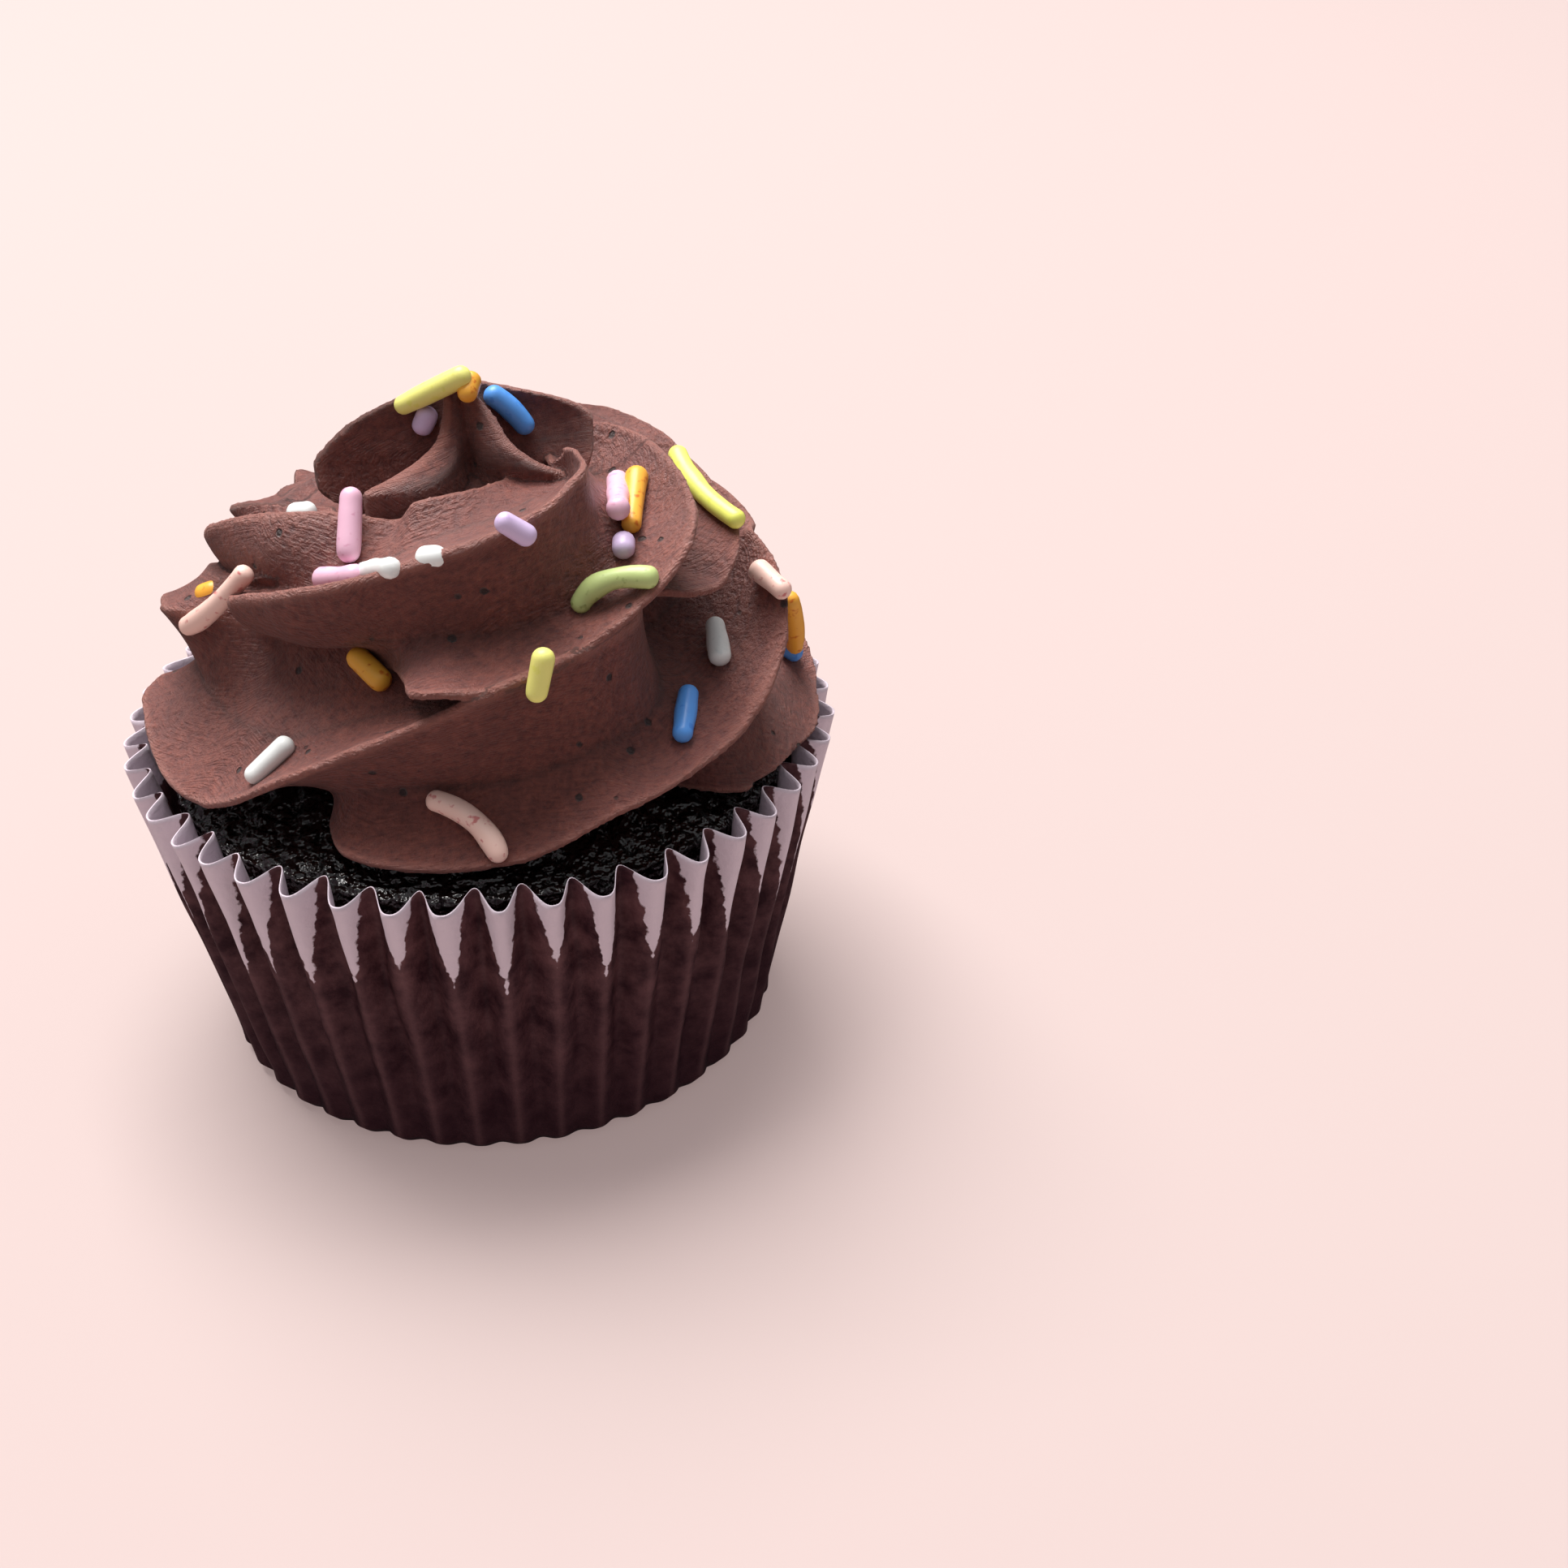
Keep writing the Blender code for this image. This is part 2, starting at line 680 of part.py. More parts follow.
def frosting():
    """The swirl as one body: rope, peak and core are fused and thinned to a few thousand faces."""
    swirl = join([rope(), peak(), core()], "frosting")
    fused = swirl.modifiers.new("fused", "REMESH")
    fused.mode = "VOXEL"
    fused.voxel_size = FROSTING_VOXEL * MM
    keep_evaluated(swirl)
    fill_cavities(swirl)
    swirl.modifiers.new("even", "SMOOTH").iterations = 1
    thinned = swirl.modifiers.new("thinned", "DECIMATE")
    thinned.ratio = FROSTING_TRIANGLES / (2 * len(swirl.data.polygons))
    keep_evaluated(swirl)
    swirl.data.shade_smooth()
    swirl.data.materials.clear()
    swirl.data.materials.append(plain_material("chocolate_frosting", (0.15, 0.055, 0.04), 0.55))
    return swirl


def rod_line(marks, share):
    """A smooth line through two or three marks, at shares of its length."""
    keys = np.array([tuple(mark) for mark in marks], float)
    if len(keys) == 2:
        keys = np.array([keys[0], keys.mean(axis=0), keys[1]])
    share = np.asarray(share, float)[:, None]
    bend = 2 * keys[1] - 0.5 * (keys[0] + keys[2])
    return keys[0] * (1 - share) ** 2 + bend * 2 * share * (1 - share) + keys[2] * share**2


def rod_line(marks, share):
    """A smooth line through two or three marks, at shares of its length."""
    keys = np.array([tuple(mark) for mark in marks], float)
    if len(keys) == 2:
        keys = np.array([keys[0], keys.mean(axis=0), keys[1]])
    share = np.asarray(share, float)[:, None]
    bend = 2 * keys[1] - 0.5 * (keys[0] + keys[2])
    return keys[0] * (1 - share) ** 2 + bend * 2 * share * (1 - share) + keys[2] * share**2


def rod_line(marks, share):
    """A smooth line through two or three marks, at shares of its length."""
    keys = np.array([tuple(mark) for mark in marks], float)
    if len(keys) == 2:
        keys = np.array([keys[0], keys.mean(axis=0), keys[1]])
    share = np.asarray(share, float)[:, None]
    bend = 2 * keys[1] - 0.5 * (keys[0] + keys[2])
    return keys[0] * (1 - share) ** 2 + bend * 2 * share * (1 - share) + keys[2] * share**2


def rod_line(marks, share):
    """A smooth line through two or three marks, at shares of its length."""
    keys = np.array([tuple(mark) for mark in marks], float)
    if len(keys) == 2:
        keys = np.array([keys[0], keys.mean(axis=0), keys[1]])
    share = np.asarray(share, float)[:, None]
    bend = 2 * keys[1] - 0.5 * (keys[0] + keys[2])
    return keys[0] * (1 - share) ** 2 + bend * 2 * share * (1 - share) + keys[2] * share**2


def sight_points(surface, sink, marks):
    """Three points of a sprinkle that is seen between marks on the axis plane: along the lines of
    sight it rests on the parts of the frosting that stand nearest to the eye. A line that misses
    the frosting just beyond its outline counts as far as the axis plane."""
    eye = np.array(EYE)
    inset = SIGHT_INSET / np.linalg.norm(np.diff(marks, axis=0), axis=1).sum()
    shares = np.linspace(inset, 1 - inset, SIGHT_SAMPLES)
    seen = rod_line(marks, shares)
    lines = np.stack([seen[:, 0], 0 * shares, seen[:, 1]], axis=-1) - eye
    lines = lines / np.linalg.norm(lines, axis=1, keepdims=True)
    reach = []
    for line in lines:
        spot, normal, _, distance = surface.ray_cast(Vector(eye) * MM, Vector(line))
        if spot is None:
            reach.append(-eye[1] / line[1])
            continue
        facing = max(-Vector(line).dot(normal), LEAST_FACING)
        reach.append(distance / MM - (SPRINKLE_RADIUS - sink) / facing)
    nearest = None
    for first, last in itertools.combinations(range(SIGHT_SAMPLES), 2):
        slope = (reach[last] - reach[first]) / (last - first)
        laid = reach[first] + slope * (np.arange(SIGHT_SAMPLES) - first)
        clear = np.all(laid <= np.array(reach) + SIGHT_OVERLAP)
        if clear and (nearest is None or laid.sum() > nearest.sum()):
            nearest = laid
    return [eye + lines[index] * nearest[index] for index in (0, SIGHT_SAMPLES // 2, SIGHT_SAMPLES - 1)]


def scattered_points(surface, random):
    """Two ends of a sprinkle that lies at random on the back of the swirl, out of sight from the front."""
    bearing = random.uniform(*HIDDEN_BEARINGS)
    height = random.uniform(*HIDDEN_HEIGHTS)
    lie = random.normal(size=3)
    outside = Vector(at_bearing(bearing, 2 * RIM_RADIUS, height + CASE_HEIGHT)) * MM
    aim = Vector(at_bearing(bearing, CORE_RADIUS, height)) * MM
    spot, normal, _, _ = surface.ray_cast(outside, (aim - outside).normalized())
    if spot is None:
        return []
    lie = Vector(lie).cross(normal).normalized()
    middle = np.array(spot + normal * (SPRINKLE_RADIUS - SPRINKLE_SINK) * MM) / MM
    half_rod = np.array(lie) * (SPRINKLE_LENGTH / 2 - SPRINKLE_RADIUS)
    eye = Vector(EYE) * MM
    for share in (-HIDDEN_SPAN, 0, HIDDEN_SPAN):
        start = Vector(middle + half_rod * share + np.array(normal) * SPRINKLE_RADIUS) * MM
        if surface.ray_cast(start, (eye - start).normalized())[0] is None:
            return []
    return [middle - half_rod, middle + half_rod]


def sprinkle(name, points):
    """A rod through two or three points, with six sides and pointed ends."""
    points = [Vector(point) for point in points]
    rings = []
    for index, point in enumerate(points):
        before = points[max(index - 1, 0)]
        after = points[min(index + 1, len(points) - 1)]
        turn = (after - before).to_track_quat("Z", "Y").to_matrix().to_4x4()
        place = Matrix.Translation(point) @ turn
        sides = [2 * math.pi * side / SPRINKLE_SIDES for side in range(SPRINKLE_SIDES)]
        circle = [Vector((math.cos(a), math.sin(a), 0)) * SPRINKLE_RADIUS for a in sides]
        rings.append([place @ corner for corner in circle])
    rod = closed_tube(name, np.array(rings))
    ends = rod.data.vertices[-2:]
    ends[0].co += (points[0] - points[1]).normalized() * SPRINKLE_RADIUS * MM
    ends[1].co += (points[-1] - points[-2]).normalized() * SPRINKLE_RADIUS * MM
    return rod


def add_sprinkles(swirl):
    """Fuse the sprinkles to the frosting by one union on their collection."""
    surface = BVHTree.FromObject(swirl, bpy.context.evaluated_depsgraph_get())
    random = np.random.default_rng(SPRINKLE_SEED)
    rows = [sight_points(surface, sink, marks) for _, sink, *marks in SHOWN_SPRINKLES]
    rows += [scattered_points(surface, random) for _ in range(HIDDEN_SPRINKLES)]
    scatter = bpy.data.collections.new("sprinkles")
    bpy.context.scene.collection.children.link(scatter)
    for index, points in enumerate(rows):
        if len(points) < 2:
            continue
        rod = sprinkle(f"sprinkle_{index}", points)
        bpy.context.scene.collection.objects.unlink(rod)
        scatter.objects.link(rod)
    union = swirl.modifiers.new("sprinkled", "BOOLEAN")
    union.operation = "UNION"
    union.operand_type = "COLLECTION"
    union.collection = scatter
    union.solver = "MANIFOLD"
    keep_evaluated(swirl)
    fill_cavities(swirl)
    for rod in list(scatter.objects):
        bpy.data.objects.remove(rod)
    bpy.data.collections.remove(scatter)


for leftover in list(bpy.data.objects):
    bpy.data.objects.remove(leftover)
paper_case()
sponge()
add_sprinkles(frosting())
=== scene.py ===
"""The looks of a frosted chocolate cupcake: paper case, cake, piped swirl and sugar sprinkles.

Bearings are degrees round the upright axis, seen from above: 0 is the front (-Y), 90 the right (+X).
Sizes are millimetres, turned into metres by MM where they go into a mesh.
"""

import itertools
import math

import bpy
import numpy as np
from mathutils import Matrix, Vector
from mathutils.bvhtree import BVHTree


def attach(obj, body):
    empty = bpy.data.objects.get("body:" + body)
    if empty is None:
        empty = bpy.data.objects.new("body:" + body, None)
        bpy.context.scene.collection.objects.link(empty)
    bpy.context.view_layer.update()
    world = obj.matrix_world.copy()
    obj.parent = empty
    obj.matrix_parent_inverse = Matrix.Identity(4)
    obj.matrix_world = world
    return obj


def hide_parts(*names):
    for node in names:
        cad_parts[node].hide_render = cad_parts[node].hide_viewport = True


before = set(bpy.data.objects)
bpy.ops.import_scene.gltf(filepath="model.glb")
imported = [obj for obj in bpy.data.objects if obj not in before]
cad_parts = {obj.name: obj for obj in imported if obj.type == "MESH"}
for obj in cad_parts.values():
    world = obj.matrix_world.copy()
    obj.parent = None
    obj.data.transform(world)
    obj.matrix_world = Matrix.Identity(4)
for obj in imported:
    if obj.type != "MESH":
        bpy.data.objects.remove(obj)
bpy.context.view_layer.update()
MM = 0.001

# Camera and studio
# A lens of 48 mm, some 20 cm away, looks down at the cupcake's front by just over 33 degrees. A broad
# soft lamp hangs high above it, a little behind and to the left, so what faces up takes a pale sheen.
CAMERA_PLACE = (29.06, -174.95, 138.38)
CAMERA_DOWN = 33.3
CAMERA_LENS = 48.45
LAMP_PLACE = (-260.0, 430.0, 1300.0)
LAMP_AIM = (0.0, 0.0, 40.0)
LAMP_SIZE = 1.0
LAMP_POWER = 40.0
ROOM_LIGHT = 0.55
HORIZON_SHARE = 0.06
FLOOR_SIZE = 3.0


def linear(colour):
    """sRGB hex, as #rrggbb, to linear red, green, blue and an alpha of 1."""
    parts = [int(colour[place : place + 2], 16) / 255 for place in (1, 3, 5)]
    return (*[part / 12.92 if part < 0.04045 else ((part + 0.055) / 1.055) ** 2.4 for part in parts], 1)


def new_material(name):
    material = bpy.data.materials.new(name)
    material.use_nodes = True
    return material, material.node_tree.nodes["Principled BSDF"]


def add_node(material, kind, inputs, **settings):
    """Add a node. Its inputs are values, or the sockets that feed them; its settings are properties."""
    node = material.node_tree.nodes.new(kind)
    for name, value in settings.items():
        setattr(node, name, value)
    for name, value in inputs.items():
        if isinstance(value, bpy.types.NodeSocket):
            material.node_tree.links.new(value, node.inputs[name])
        else:
            node.inputs[name].default_value = value
    return node


def noise(material, place, size, detail, roughness=0.5):
    """Noise over the object's own place, with lumps of about this size in millimetres."""
    inputs = {"Vector": place.outputs["Object"], "Scale": 1 / (size * MM)}
    return add_node(material, "ShaderNodeTexNoise", {**inputs, "Detail": detail, "Roughness": roughness})


def mix(material, share, colour, other):
    """The socket that leads from a colour to the other as the share goes from 0 to 1."""
    inputs = {0: share, 6: colour, 7: other}
    return add_node(material, "ShaderNodeMix", inputs, data_type="RGBA").outputs[2]


def surface(name, points, faces, material):
    """A smooth-shaded object at the origin, from points in millimetres and faces."""
    mesh = bpy.data.meshes.new(name)
    mesh.from_pydata(np.asarray(points, float).reshape(-1, 3) * MM, [], faces)
    mesh.update()
    mesh.shade_smooth()
    mesh.materials.append(material)
    piece = bpy.data.objects.new(name, mesh)
    bpy.context.scene.collection.objects.link(piece)
    return piece


camera = bpy.data.objects.new("camera", bpy.data.cameras.new("camera"))
camera.location = Vector(CAMERA_PLACE) * MM
camera.rotation_euler = (math.radians(90 - CAMERA_DOWN), 0, 0)
camera.data.lens = CAMERA_LENS
camera.data.clip_start = 0.01
bpy.context.scene.collection.objects.link(camera)
bpy.context.scene.camera = camera
bpy.context.scene.view_settings.view_transform = "Standard"

lamp = bpy.data.objects.new("lamp", bpy.data.lights.new("lamp", "AREA"))
lamp.location = Vector(LAMP_PLACE) * MM
lamp.rotation_euler = (Vector(LAMP_AIM) - Vector(LAMP_PLACE)).to_track_quat("-Z", "Y").to_euler()
lamp.data.energy = LAMP_POWER
lamp.data.size = LAMP_SIZE
lamp.data.color = (1.0, 0.97, 0.95)
bpy.context.scene.collection.objects.link(lamp)
room = bpy.data.worlds.new("room")
room.use_nodes = True
sky_direction = add_node(room, "ShaderNodeTexCoord", {})
sky_height = add_node(room, "ShaderNodeSeparateXYZ", {"Vector": sky_direction.outputs["Generated"]})
sky_share = add_node(room, "ShaderNodeMapRange", {"Value": sky_height.outputs["Z"], "To Min": HORIZON_SHARE})
sky_colour = mix(room, sky_share.outputs["Result"], (0, 0, 0, 1), (0.95, 0.97, 1.0, 1))
room.node_tree.links.new(sky_colour, room.node_tree.nodes["Background"].inputs["Color"])
room.node_tree.nodes["Background"].inputs["Strength"].default_value = ROOM_LIGHT
bpy.context.scene.world = room

painted_board, board_shader = new_material("pale_pink_board")
board_shader.inputs["Base Color"].default_value = linear("#a0928f")
board_shader.inputs["Roughness"].default_value = 0.9
board_shader.inputs["Emission Color"].default_value = linear("#ffdfdc")
board_shader.inputs["Emission Strength"].default_value = 0.26
half = FLOOR_SIZE / MM / 2
board_corners = [(-half, -half, 0), (half, -half, 0), (half, half, 0), (-half, half, 0)]
board = surface("floor", board_corners, [(0, 1, 2, 3)], painted_board)
# The board throws no sheen onto the undersides of the swirl.
board.visible_glossy = False

# Paper case
# A disc of thin baking paper, pressed into a cup with 45 pleats. Cake fat has soaked it dark brown
# wherever it touched the cake; the proud pleats stay dry and pale in a ragged V below the rim.
RIM_RADIUS = 34.0
BASE_RADIUS = 27.6
CASE_HEIGHT = 32.35
FLUTES = 45
FLUTE_BEARING = 1.0
FLUTE_DEPTH_RIM = 2.6
FLUTE_DEPTH_BASE = 0.5
FOLD_RISE = 0.8
FOLD_SHARPNESS = 1.35
PAPER = 0.16
FOOT_INSET = 0.84
CORNER = 1.2
CASE_COLUMNS = FLUTES * 20
LOW_WALL_SHARES = (0.08, 0.7, 16)
HIGH_WALL_SHARES = (0.73, 1.0, 16)
FOLD_WANDER = 0.1
FOLD_WANDER_SIZE = 2.6
FOLD_STRETCH = (1, 1, 0.35)
DEPTH_SPREAD = 0.25
DEPTH_SPREAD_SIZE = 5.0
WALL_STRETCH = (1, 1, 0.6)
DENT = 0.22
DENT_SIZE = 4.0
RIM_WAVER = 0.18
RIM_WAVER_SIZE = 3.0
DRY_LENGTH_FRONT = 9.0
DRY_LENGTH_SIDE = 12.5
DRY_HALF_WIDTH = 0.37
DRY_LENGTH_INSIDE = 3.5
DRY_TAPER = 1.15
FRONT_SPAN = (12, 60)
RIDGE_HALF_WIDTH = 0.09
FACING_BEARING = 9.4


def eased(value, start, end):
    """0 before start, 1 past end, with a smooth change between."""
    share = np.clip((value - start) / (end - start), 0, 1)
    return share * share * (3 - 2 * share)


def at_bearing(bearing, radius, height):
    """Points from a bearing in degrees, a radius and a height, stacked on a last axis."""
    angle = np.radians(bearing)
    return np.stack(np.broadcast_arrays(radius * np.sin(angle), -radius * np.cos(angle), height), axis=-1)


def lumps(points, size, seed):
    """A smooth random field from -1 to 1: random values on a cubic lattice of cells of this size,
    blended between each cell's eight corners."""
    scaled = np.asarray(points, float) / size
    cell = np.floor(scaled).astype(np.int64)
    part = scaled - cell
    part = part * part * (3 - 2 * part)
    total = np.zeros(scaled.shape[:-1])
    for corner in itertools.product((0, 1), repeat=3):
        mixed = (cell + corner) @ np.array([73856093, 19349663, 83492791]) + seed * 7919
        mixed = (mixed ^ (mixed >> 13)) * 1274126177 & 0x7FFFFFFF
        mixed = (mixed ^ (mixed >> 15)) * 1103515245 & 0x7FFFFFFF
        weight = np.prod(np.where(corner, part, 1 - part), axis=-1)
        total += weight * (mixed / 0x3FFFFFFF - 1)
    return total


def ring_faces(rows, columns):
    """Quads of a tube of rings, and the two fans that close it."""
    low = np.arange(rows - 1)[:, None] * columns + np.arange(columns)
    after = np.arange(rows - 1)[:, None] * columns + np.roll(np.arange(columns), -1)
    quads = np.stack([low, after, after + columns, low + columns], axis=-1).reshape(-1, 4)
    around = np.arange(columns)
    following = np.roll(around, -1)
    first = rows * columns
    last = (rows - 1) * columns
    foot = np.stack([np.full(columns, first), following, around], axis=-1)
    head = np.stack([np.full(columns, first + 1), last + around, last + following], axis=-1)
    return [*quads.tolist(), *foot.tolist(), *head.tolist()]


def with_ends(rings):
    """A tube's rows of values as one list, and the means of its first and last rows for the fans."""
    return np.vstack([rings.reshape(-1, rings.shape[-1]), rings[0].mean(axis=0), rings[-1].mean(axis=0)])


def closed_tube(name, rings, material):
    """A closed body from rings of points, with its two ends closed by fans."""
    return surface(name, with_ends(rings), ring_faces(*rings.shape[:2]), material)


def flute_phase(bearing):
    """How far a bearing is from the nearest proud pleat, from -0.5 to 0.5 of a pleat."""
    turn = (bearing - FLUTE_BEARING) * FLUTES / 360
    return turn - np.round(turn)


def case_wall(bearing, share, inset):
    """Cone whose radius drops at each inner fold: depth grows with height, proud pleats are broad and
    inner folds narrow. Inner folds stand a little higher at the rim, and no two pleats are quite alike."""
    rough = at_bearing(bearing, BASE_RADIUS, share * CASE_HEIGHT)
    crooked = lumps(rough * FOLD_STRETCH, FOLD_WANDER_SIZE, 3) * FOLD_WANDER
    fold = np.sin(np.pi * (flute_phase(bearing) + crooked * (0.7 + 0.5 * share))) ** 2
    fold = np.abs(fold) ** FOLD_SHARPNESS
    depth = FLUTE_DEPTH_BASE + (FLUTE_DEPTH_RIM - FLUTE_DEPTH_BASE) * share
    depth = depth * (1 + DEPTH_SPREAD * lumps(rough * WALL_STRETCH, DEPTH_SPREAD_SIZE, 4))
    radius = BASE_RADIUS + (RIM_RADIUS - BASE_RADIUS) * share
    dent = DENT * lumps(rough * WALL_STRETCH, DENT_SIZE, 5) - DENT
    rise = FOLD_RISE * fold + RIM_WAVER * lumps(rough, RIM_WAVER_SIZE, 6)
    height = CASE_HEIGHT * share + rise * eased(share, 0.8, 1.0)
    return at_bearing(bearing, radius - depth * fold + dent * eased(share, 0, 0.1) - inset, height)


def case_stain(bearing, share, inside):
    """How dry the paper is (above 0 is dry), how near a pleat's ridge, and how high."""
    phase = flute_phase(bearing)
    flute = np.round((bearing - FLUTE_BEARING) * FLUTES / 360) % FLUTES
    side = eased(np.abs((bearing - FACING_BEARING + 180) % 360 - 180), *FRONT_SPAN)
    length = DRY_LENGTH_FRONT + (DRY_LENGTH_SIDE - DRY_LENGTH_FRONT) * side
    length = length * (1 + 0.14 * np.sin(flute * 2.4) + 0.06 * np.sin(flute * 5.1))
    below = (1 - share) * CASE_HEIGHT
    dry = 1 - below / length - (np.abs(phase) / DRY_HALF_WIDTH) ** DRY_TAPER
    if inside:
        dry = 1 - below / DRY_LENGTH_INSIDE + 0 * phase
    ridge = np.exp(-((phase / RIDGE_HALF_WIDTH) ** 2))
    return np.stack(np.broadcast_arrays(dry, ridge, share, 1.0), axis=-1)


case_bearing = FLUTE_BEARING + np.arange(CASE_COLUMNS) * 360 / CASE_COLUMNS
wall_shares = [[CORNER / CASE_HEIGHT], np.linspace(*LOW_WALL_SHARES), np.linspace(*HIGH_WALL_SHARES)]
wall_shares = np.concatenate(wall_shares)
outer_wall = [case_wall(case_bearing, share, 0.0) for share in wall_shares]
inner_wall = [case_wall(case_bearing, share, PAPER) for share in wall_shares[::-1]]
foot = case_wall(case_bearing, 0.0, FOOT_INSET)
foot_inside = case_wall(case_bearing, 0.0, FOOT_INSET + PAPER) + np.array([0, 0, PAPER])
case_rings = np.array([foot, *outer_wall, *inner_wall, foot_inside])

baking_paper, paper_shader = new_material("greaseproof_baking_paper")
stain = add_node(baking_paper, "ShaderNodeAttribute", {}, attribute_name="stain")
stain_parts = add_node(baking_paper, "ShaderNodeSeparateColor", {"Color": stain.outputs["Color"]})
place = add_node(baking_paper, "ShaderNodeTexCoord", {})
# Fat creeps along paper fibres, so the stain's edge is ragged at about a millimetre.
fray = noise(baking_paper, place, 1.1, 5.0)
frayed = add_node(
    baking_paper,
    "ShaderNodeMath",
    {0: fray.outputs["Fac"], 1: 0.62, 2: stain_parts.outputs["Red"]},
    operation="MULTIPLY_ADD",
)
dryness = add_node(
    baking_paper,
    "ShaderNodeMapRange",
    {"Value": frayed.outputs["Value"], "From Min": 0.30, "From Max": 0.36},
)
# Soaked paper is a dark brown, blotched where crumb sticks to it and darker towards the foot.
blotch = noise(baking_paper, place, 2.6, 8.0, 0.62)
blotch_share = add_node(
    baking_paper,
    "ShaderNodeMapRange",
    {"Value": blotch.outputs["Fac"], "From Min": 0.35, "From Max": 0.68},
)
soaked = mix(baking_paper, blotch_share.outputs["Result"], linear("#3a1922"), linear("#6c4649"))
low_share = add_node(
    baking_paper,
    "ShaderNodeMapRange",
    {"Value": stain_parts.outputs["Blue"], "From Min": 0.8, "From Max": 0.1, "To Max": 0.75},
)
low = mix(baking_paper, low_share.outputs["Result"], soaked, linear("#381723"))
# Each pleat's ridge is painted a little lighter: a painted highlight.
ridge_highlight_share = add_node(
    baking_paper,
    "ShaderNodeMath",
    {0: stain_parts.outputs["Green"], 1: 0.3},
    operation="MULTIPLY",
)
ridge_highlighted = mix(baking_paper, ridge_highlight_share.outputs["Value"], low, linear("#7a5658"))
paper_colour = mix(baking_paper, dryness.outputs["Result"], ridge_highlighted, linear("#dacbd6"))
fibre = noise(baking_paper, place, 0.7, 5.0)
paper_bump = add_node(
    baking_paper, "ShaderNodeBump", {"Height": fibre.outputs["Fac"], "Strength": 0.7, "Distance": 0.2 * MM}
)
baking_paper.node_tree.links.new(paper_colour, paper_shader.inputs["Base Color"])
baking_paper.node_tree.links.new(paper_bump.outputs["Normal"], paper_shader.inputs["Normal"])
paper_shader.inputs["Roughness"].default_value = 0.62
paper_shader.inputs["Specular IOR Level"].default_value = 0.2

case = closed_tube("pleated_paper_case", case_rings, baking_paper)
stains = [case_stain(case_bearing, 0.0, False)]
stains += [case_stain(case_bearing, share, False) for share in wall_shares]
stains += [case_stain(case_bearing, share, True) for share in wall_shares[::-1]]
stains += [case_stain(case_bearing, 0.0, True)]
wet = np.array([[-1.0, 0.0, 0.0, 1.0]] * 2)
stain_values = np.vstack([np.array(stains).reshape(-1, 4), wet])
case.data.attributes.new("stain", "FLOAT_COLOR", "POINT").data.foreach_set("color", stain_values.ravel())
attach(case, "root")
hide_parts("paper_case")

# Cake
# Moist dark chocolate cake, baked in the case: a nearly level crown, a rounded pitted edge. Its crumb
# is open and sticky, so it is almost black and catches small cold glints.
CAKE_CLEARANCE = 0.35
CAKE_EDGE_HEIGHT = 31.0
CAKE_EDGE_RADIUS = 30.5
CAKE_CROWN = 34.4
CAKE_WALL_PAPER = 0.35
CAKE_COLUMNS = 640
PIT_SPACING = 1.25
PIT_RADIUS = 0.52
PIT_DEPTH = 0.75
PIT_JITTER = 0.45
PIT_SIZE = 0.65
PIT_SIZE_SPREAD = 0.45
PIT_SEED = 20
HIDDEN_SIDE = (24.0, 10)
SHOWN_SIDE = (24.5, 20)
SHOWN_CROWN = (CAKE_EDGE_RADIUS - 0.3, 15.0, 48)
HIDDEN_CROWN = (13.0, 1.0, 6)
ROUNDING_HEIGHT = 1.5
OPEN_CRUMB_HEIGHTS = (22.0, 26.0)
CRUMB_LUMPS = ((0.34, 1.5, 31), (0.2, 0.75, 32))


def cake_top(radius):
    """Height of the cake's crown: nearly level, falling away at the edge."""
    share = np.clip(np.abs(radius) / CAKE_EDGE_RADIUS, 0, 2)
    return CAKE_CROWN - (CAKE_CROWN - CAKE_EDGE_HEIGHT) * share**4


def pits(points, spacing, radius, seed):
    """1 at a pore's middle, 0 away from pores: distance to the nearest of jittered lattice points."""
    cell = np.floor(points / spacing).astype(np.int64)
    nearest = np.full(points.shape[:-1], np.inf)
    for step in itertools.product((-1, 0, 1), repeat=3):
        lattice = cell + step
        jitter = np.stack([lumps(lattice + 0.001, 1.0, seed + axis) for axis in range(3)], axis=-1)
        centre = (lattice + 0.5 + PIT_JITTER * jitter) * spacing
        size = PIT_SIZE + PIT_SIZE_SPREAD * lumps(lattice + 0.001, 1.0, seed + 3)
        nearest = np.minimum(nearest, np.linalg.norm(points - centre, axis=-1) / (radius * size))
    return np.sqrt(np.clip(1 - nearest**2, 0, 1))


cake_floor = CAKE_WALL_PAPER + CAKE_CLEARANCE
cake_foot = BASE_RADIUS - FLUTE_DEPTH_BASE - CAKE_WALL_PAPER - CAKE_CLEARANCE - CORNER
side_ends = [cake_floor + CORNER, CAKE_EDGE_HEIGHT]
hidden_heights = np.linspace(side_ends[0], *HIDDEN_SIDE)
shown_heights = np.linspace(SHOWN_SIDE[0], side_ends[1], SHOWN_SIDE[1])
side_heights = np.concatenate([hidden_heights, shown_heights])
side_radii = np.interp(side_heights, side_ends, [cake_foot + CORNER, CAKE_EDGE_RADIUS])
crown_radii = np.concatenate([np.linspace(*SHOWN_CROWN), np.linspace(*HIDDEN_CROWN)])
cake_radii = np.concatenate([[cake_foot], side_radii, crown_radii])
cake_heights = np.concatenate([[cake_floor], side_heights, cake_top(crown_radii)])
cake_bearing = np.arange(CAKE_COLUMNS) * 360 / CAKE_COLUMNS
cake_points = at_bearing(cake_bearing, cake_radii[:, None], cake_heights[:, None])
upward = np.clip((cake_heights - CAKE_EDGE_HEIGHT) / ROUNDING_HEIGHT, 0, 1)[:, None]
outward = at_bearing(cake_bearing, np.ones_like(upward), 0.0) * (1 - upward[..., None])
outward = outward + upward[..., None] * (0, 0, 1)
open_crumb = eased(cake_heights, *OPEN_CRUMB_HEIGHTS)[:, None]
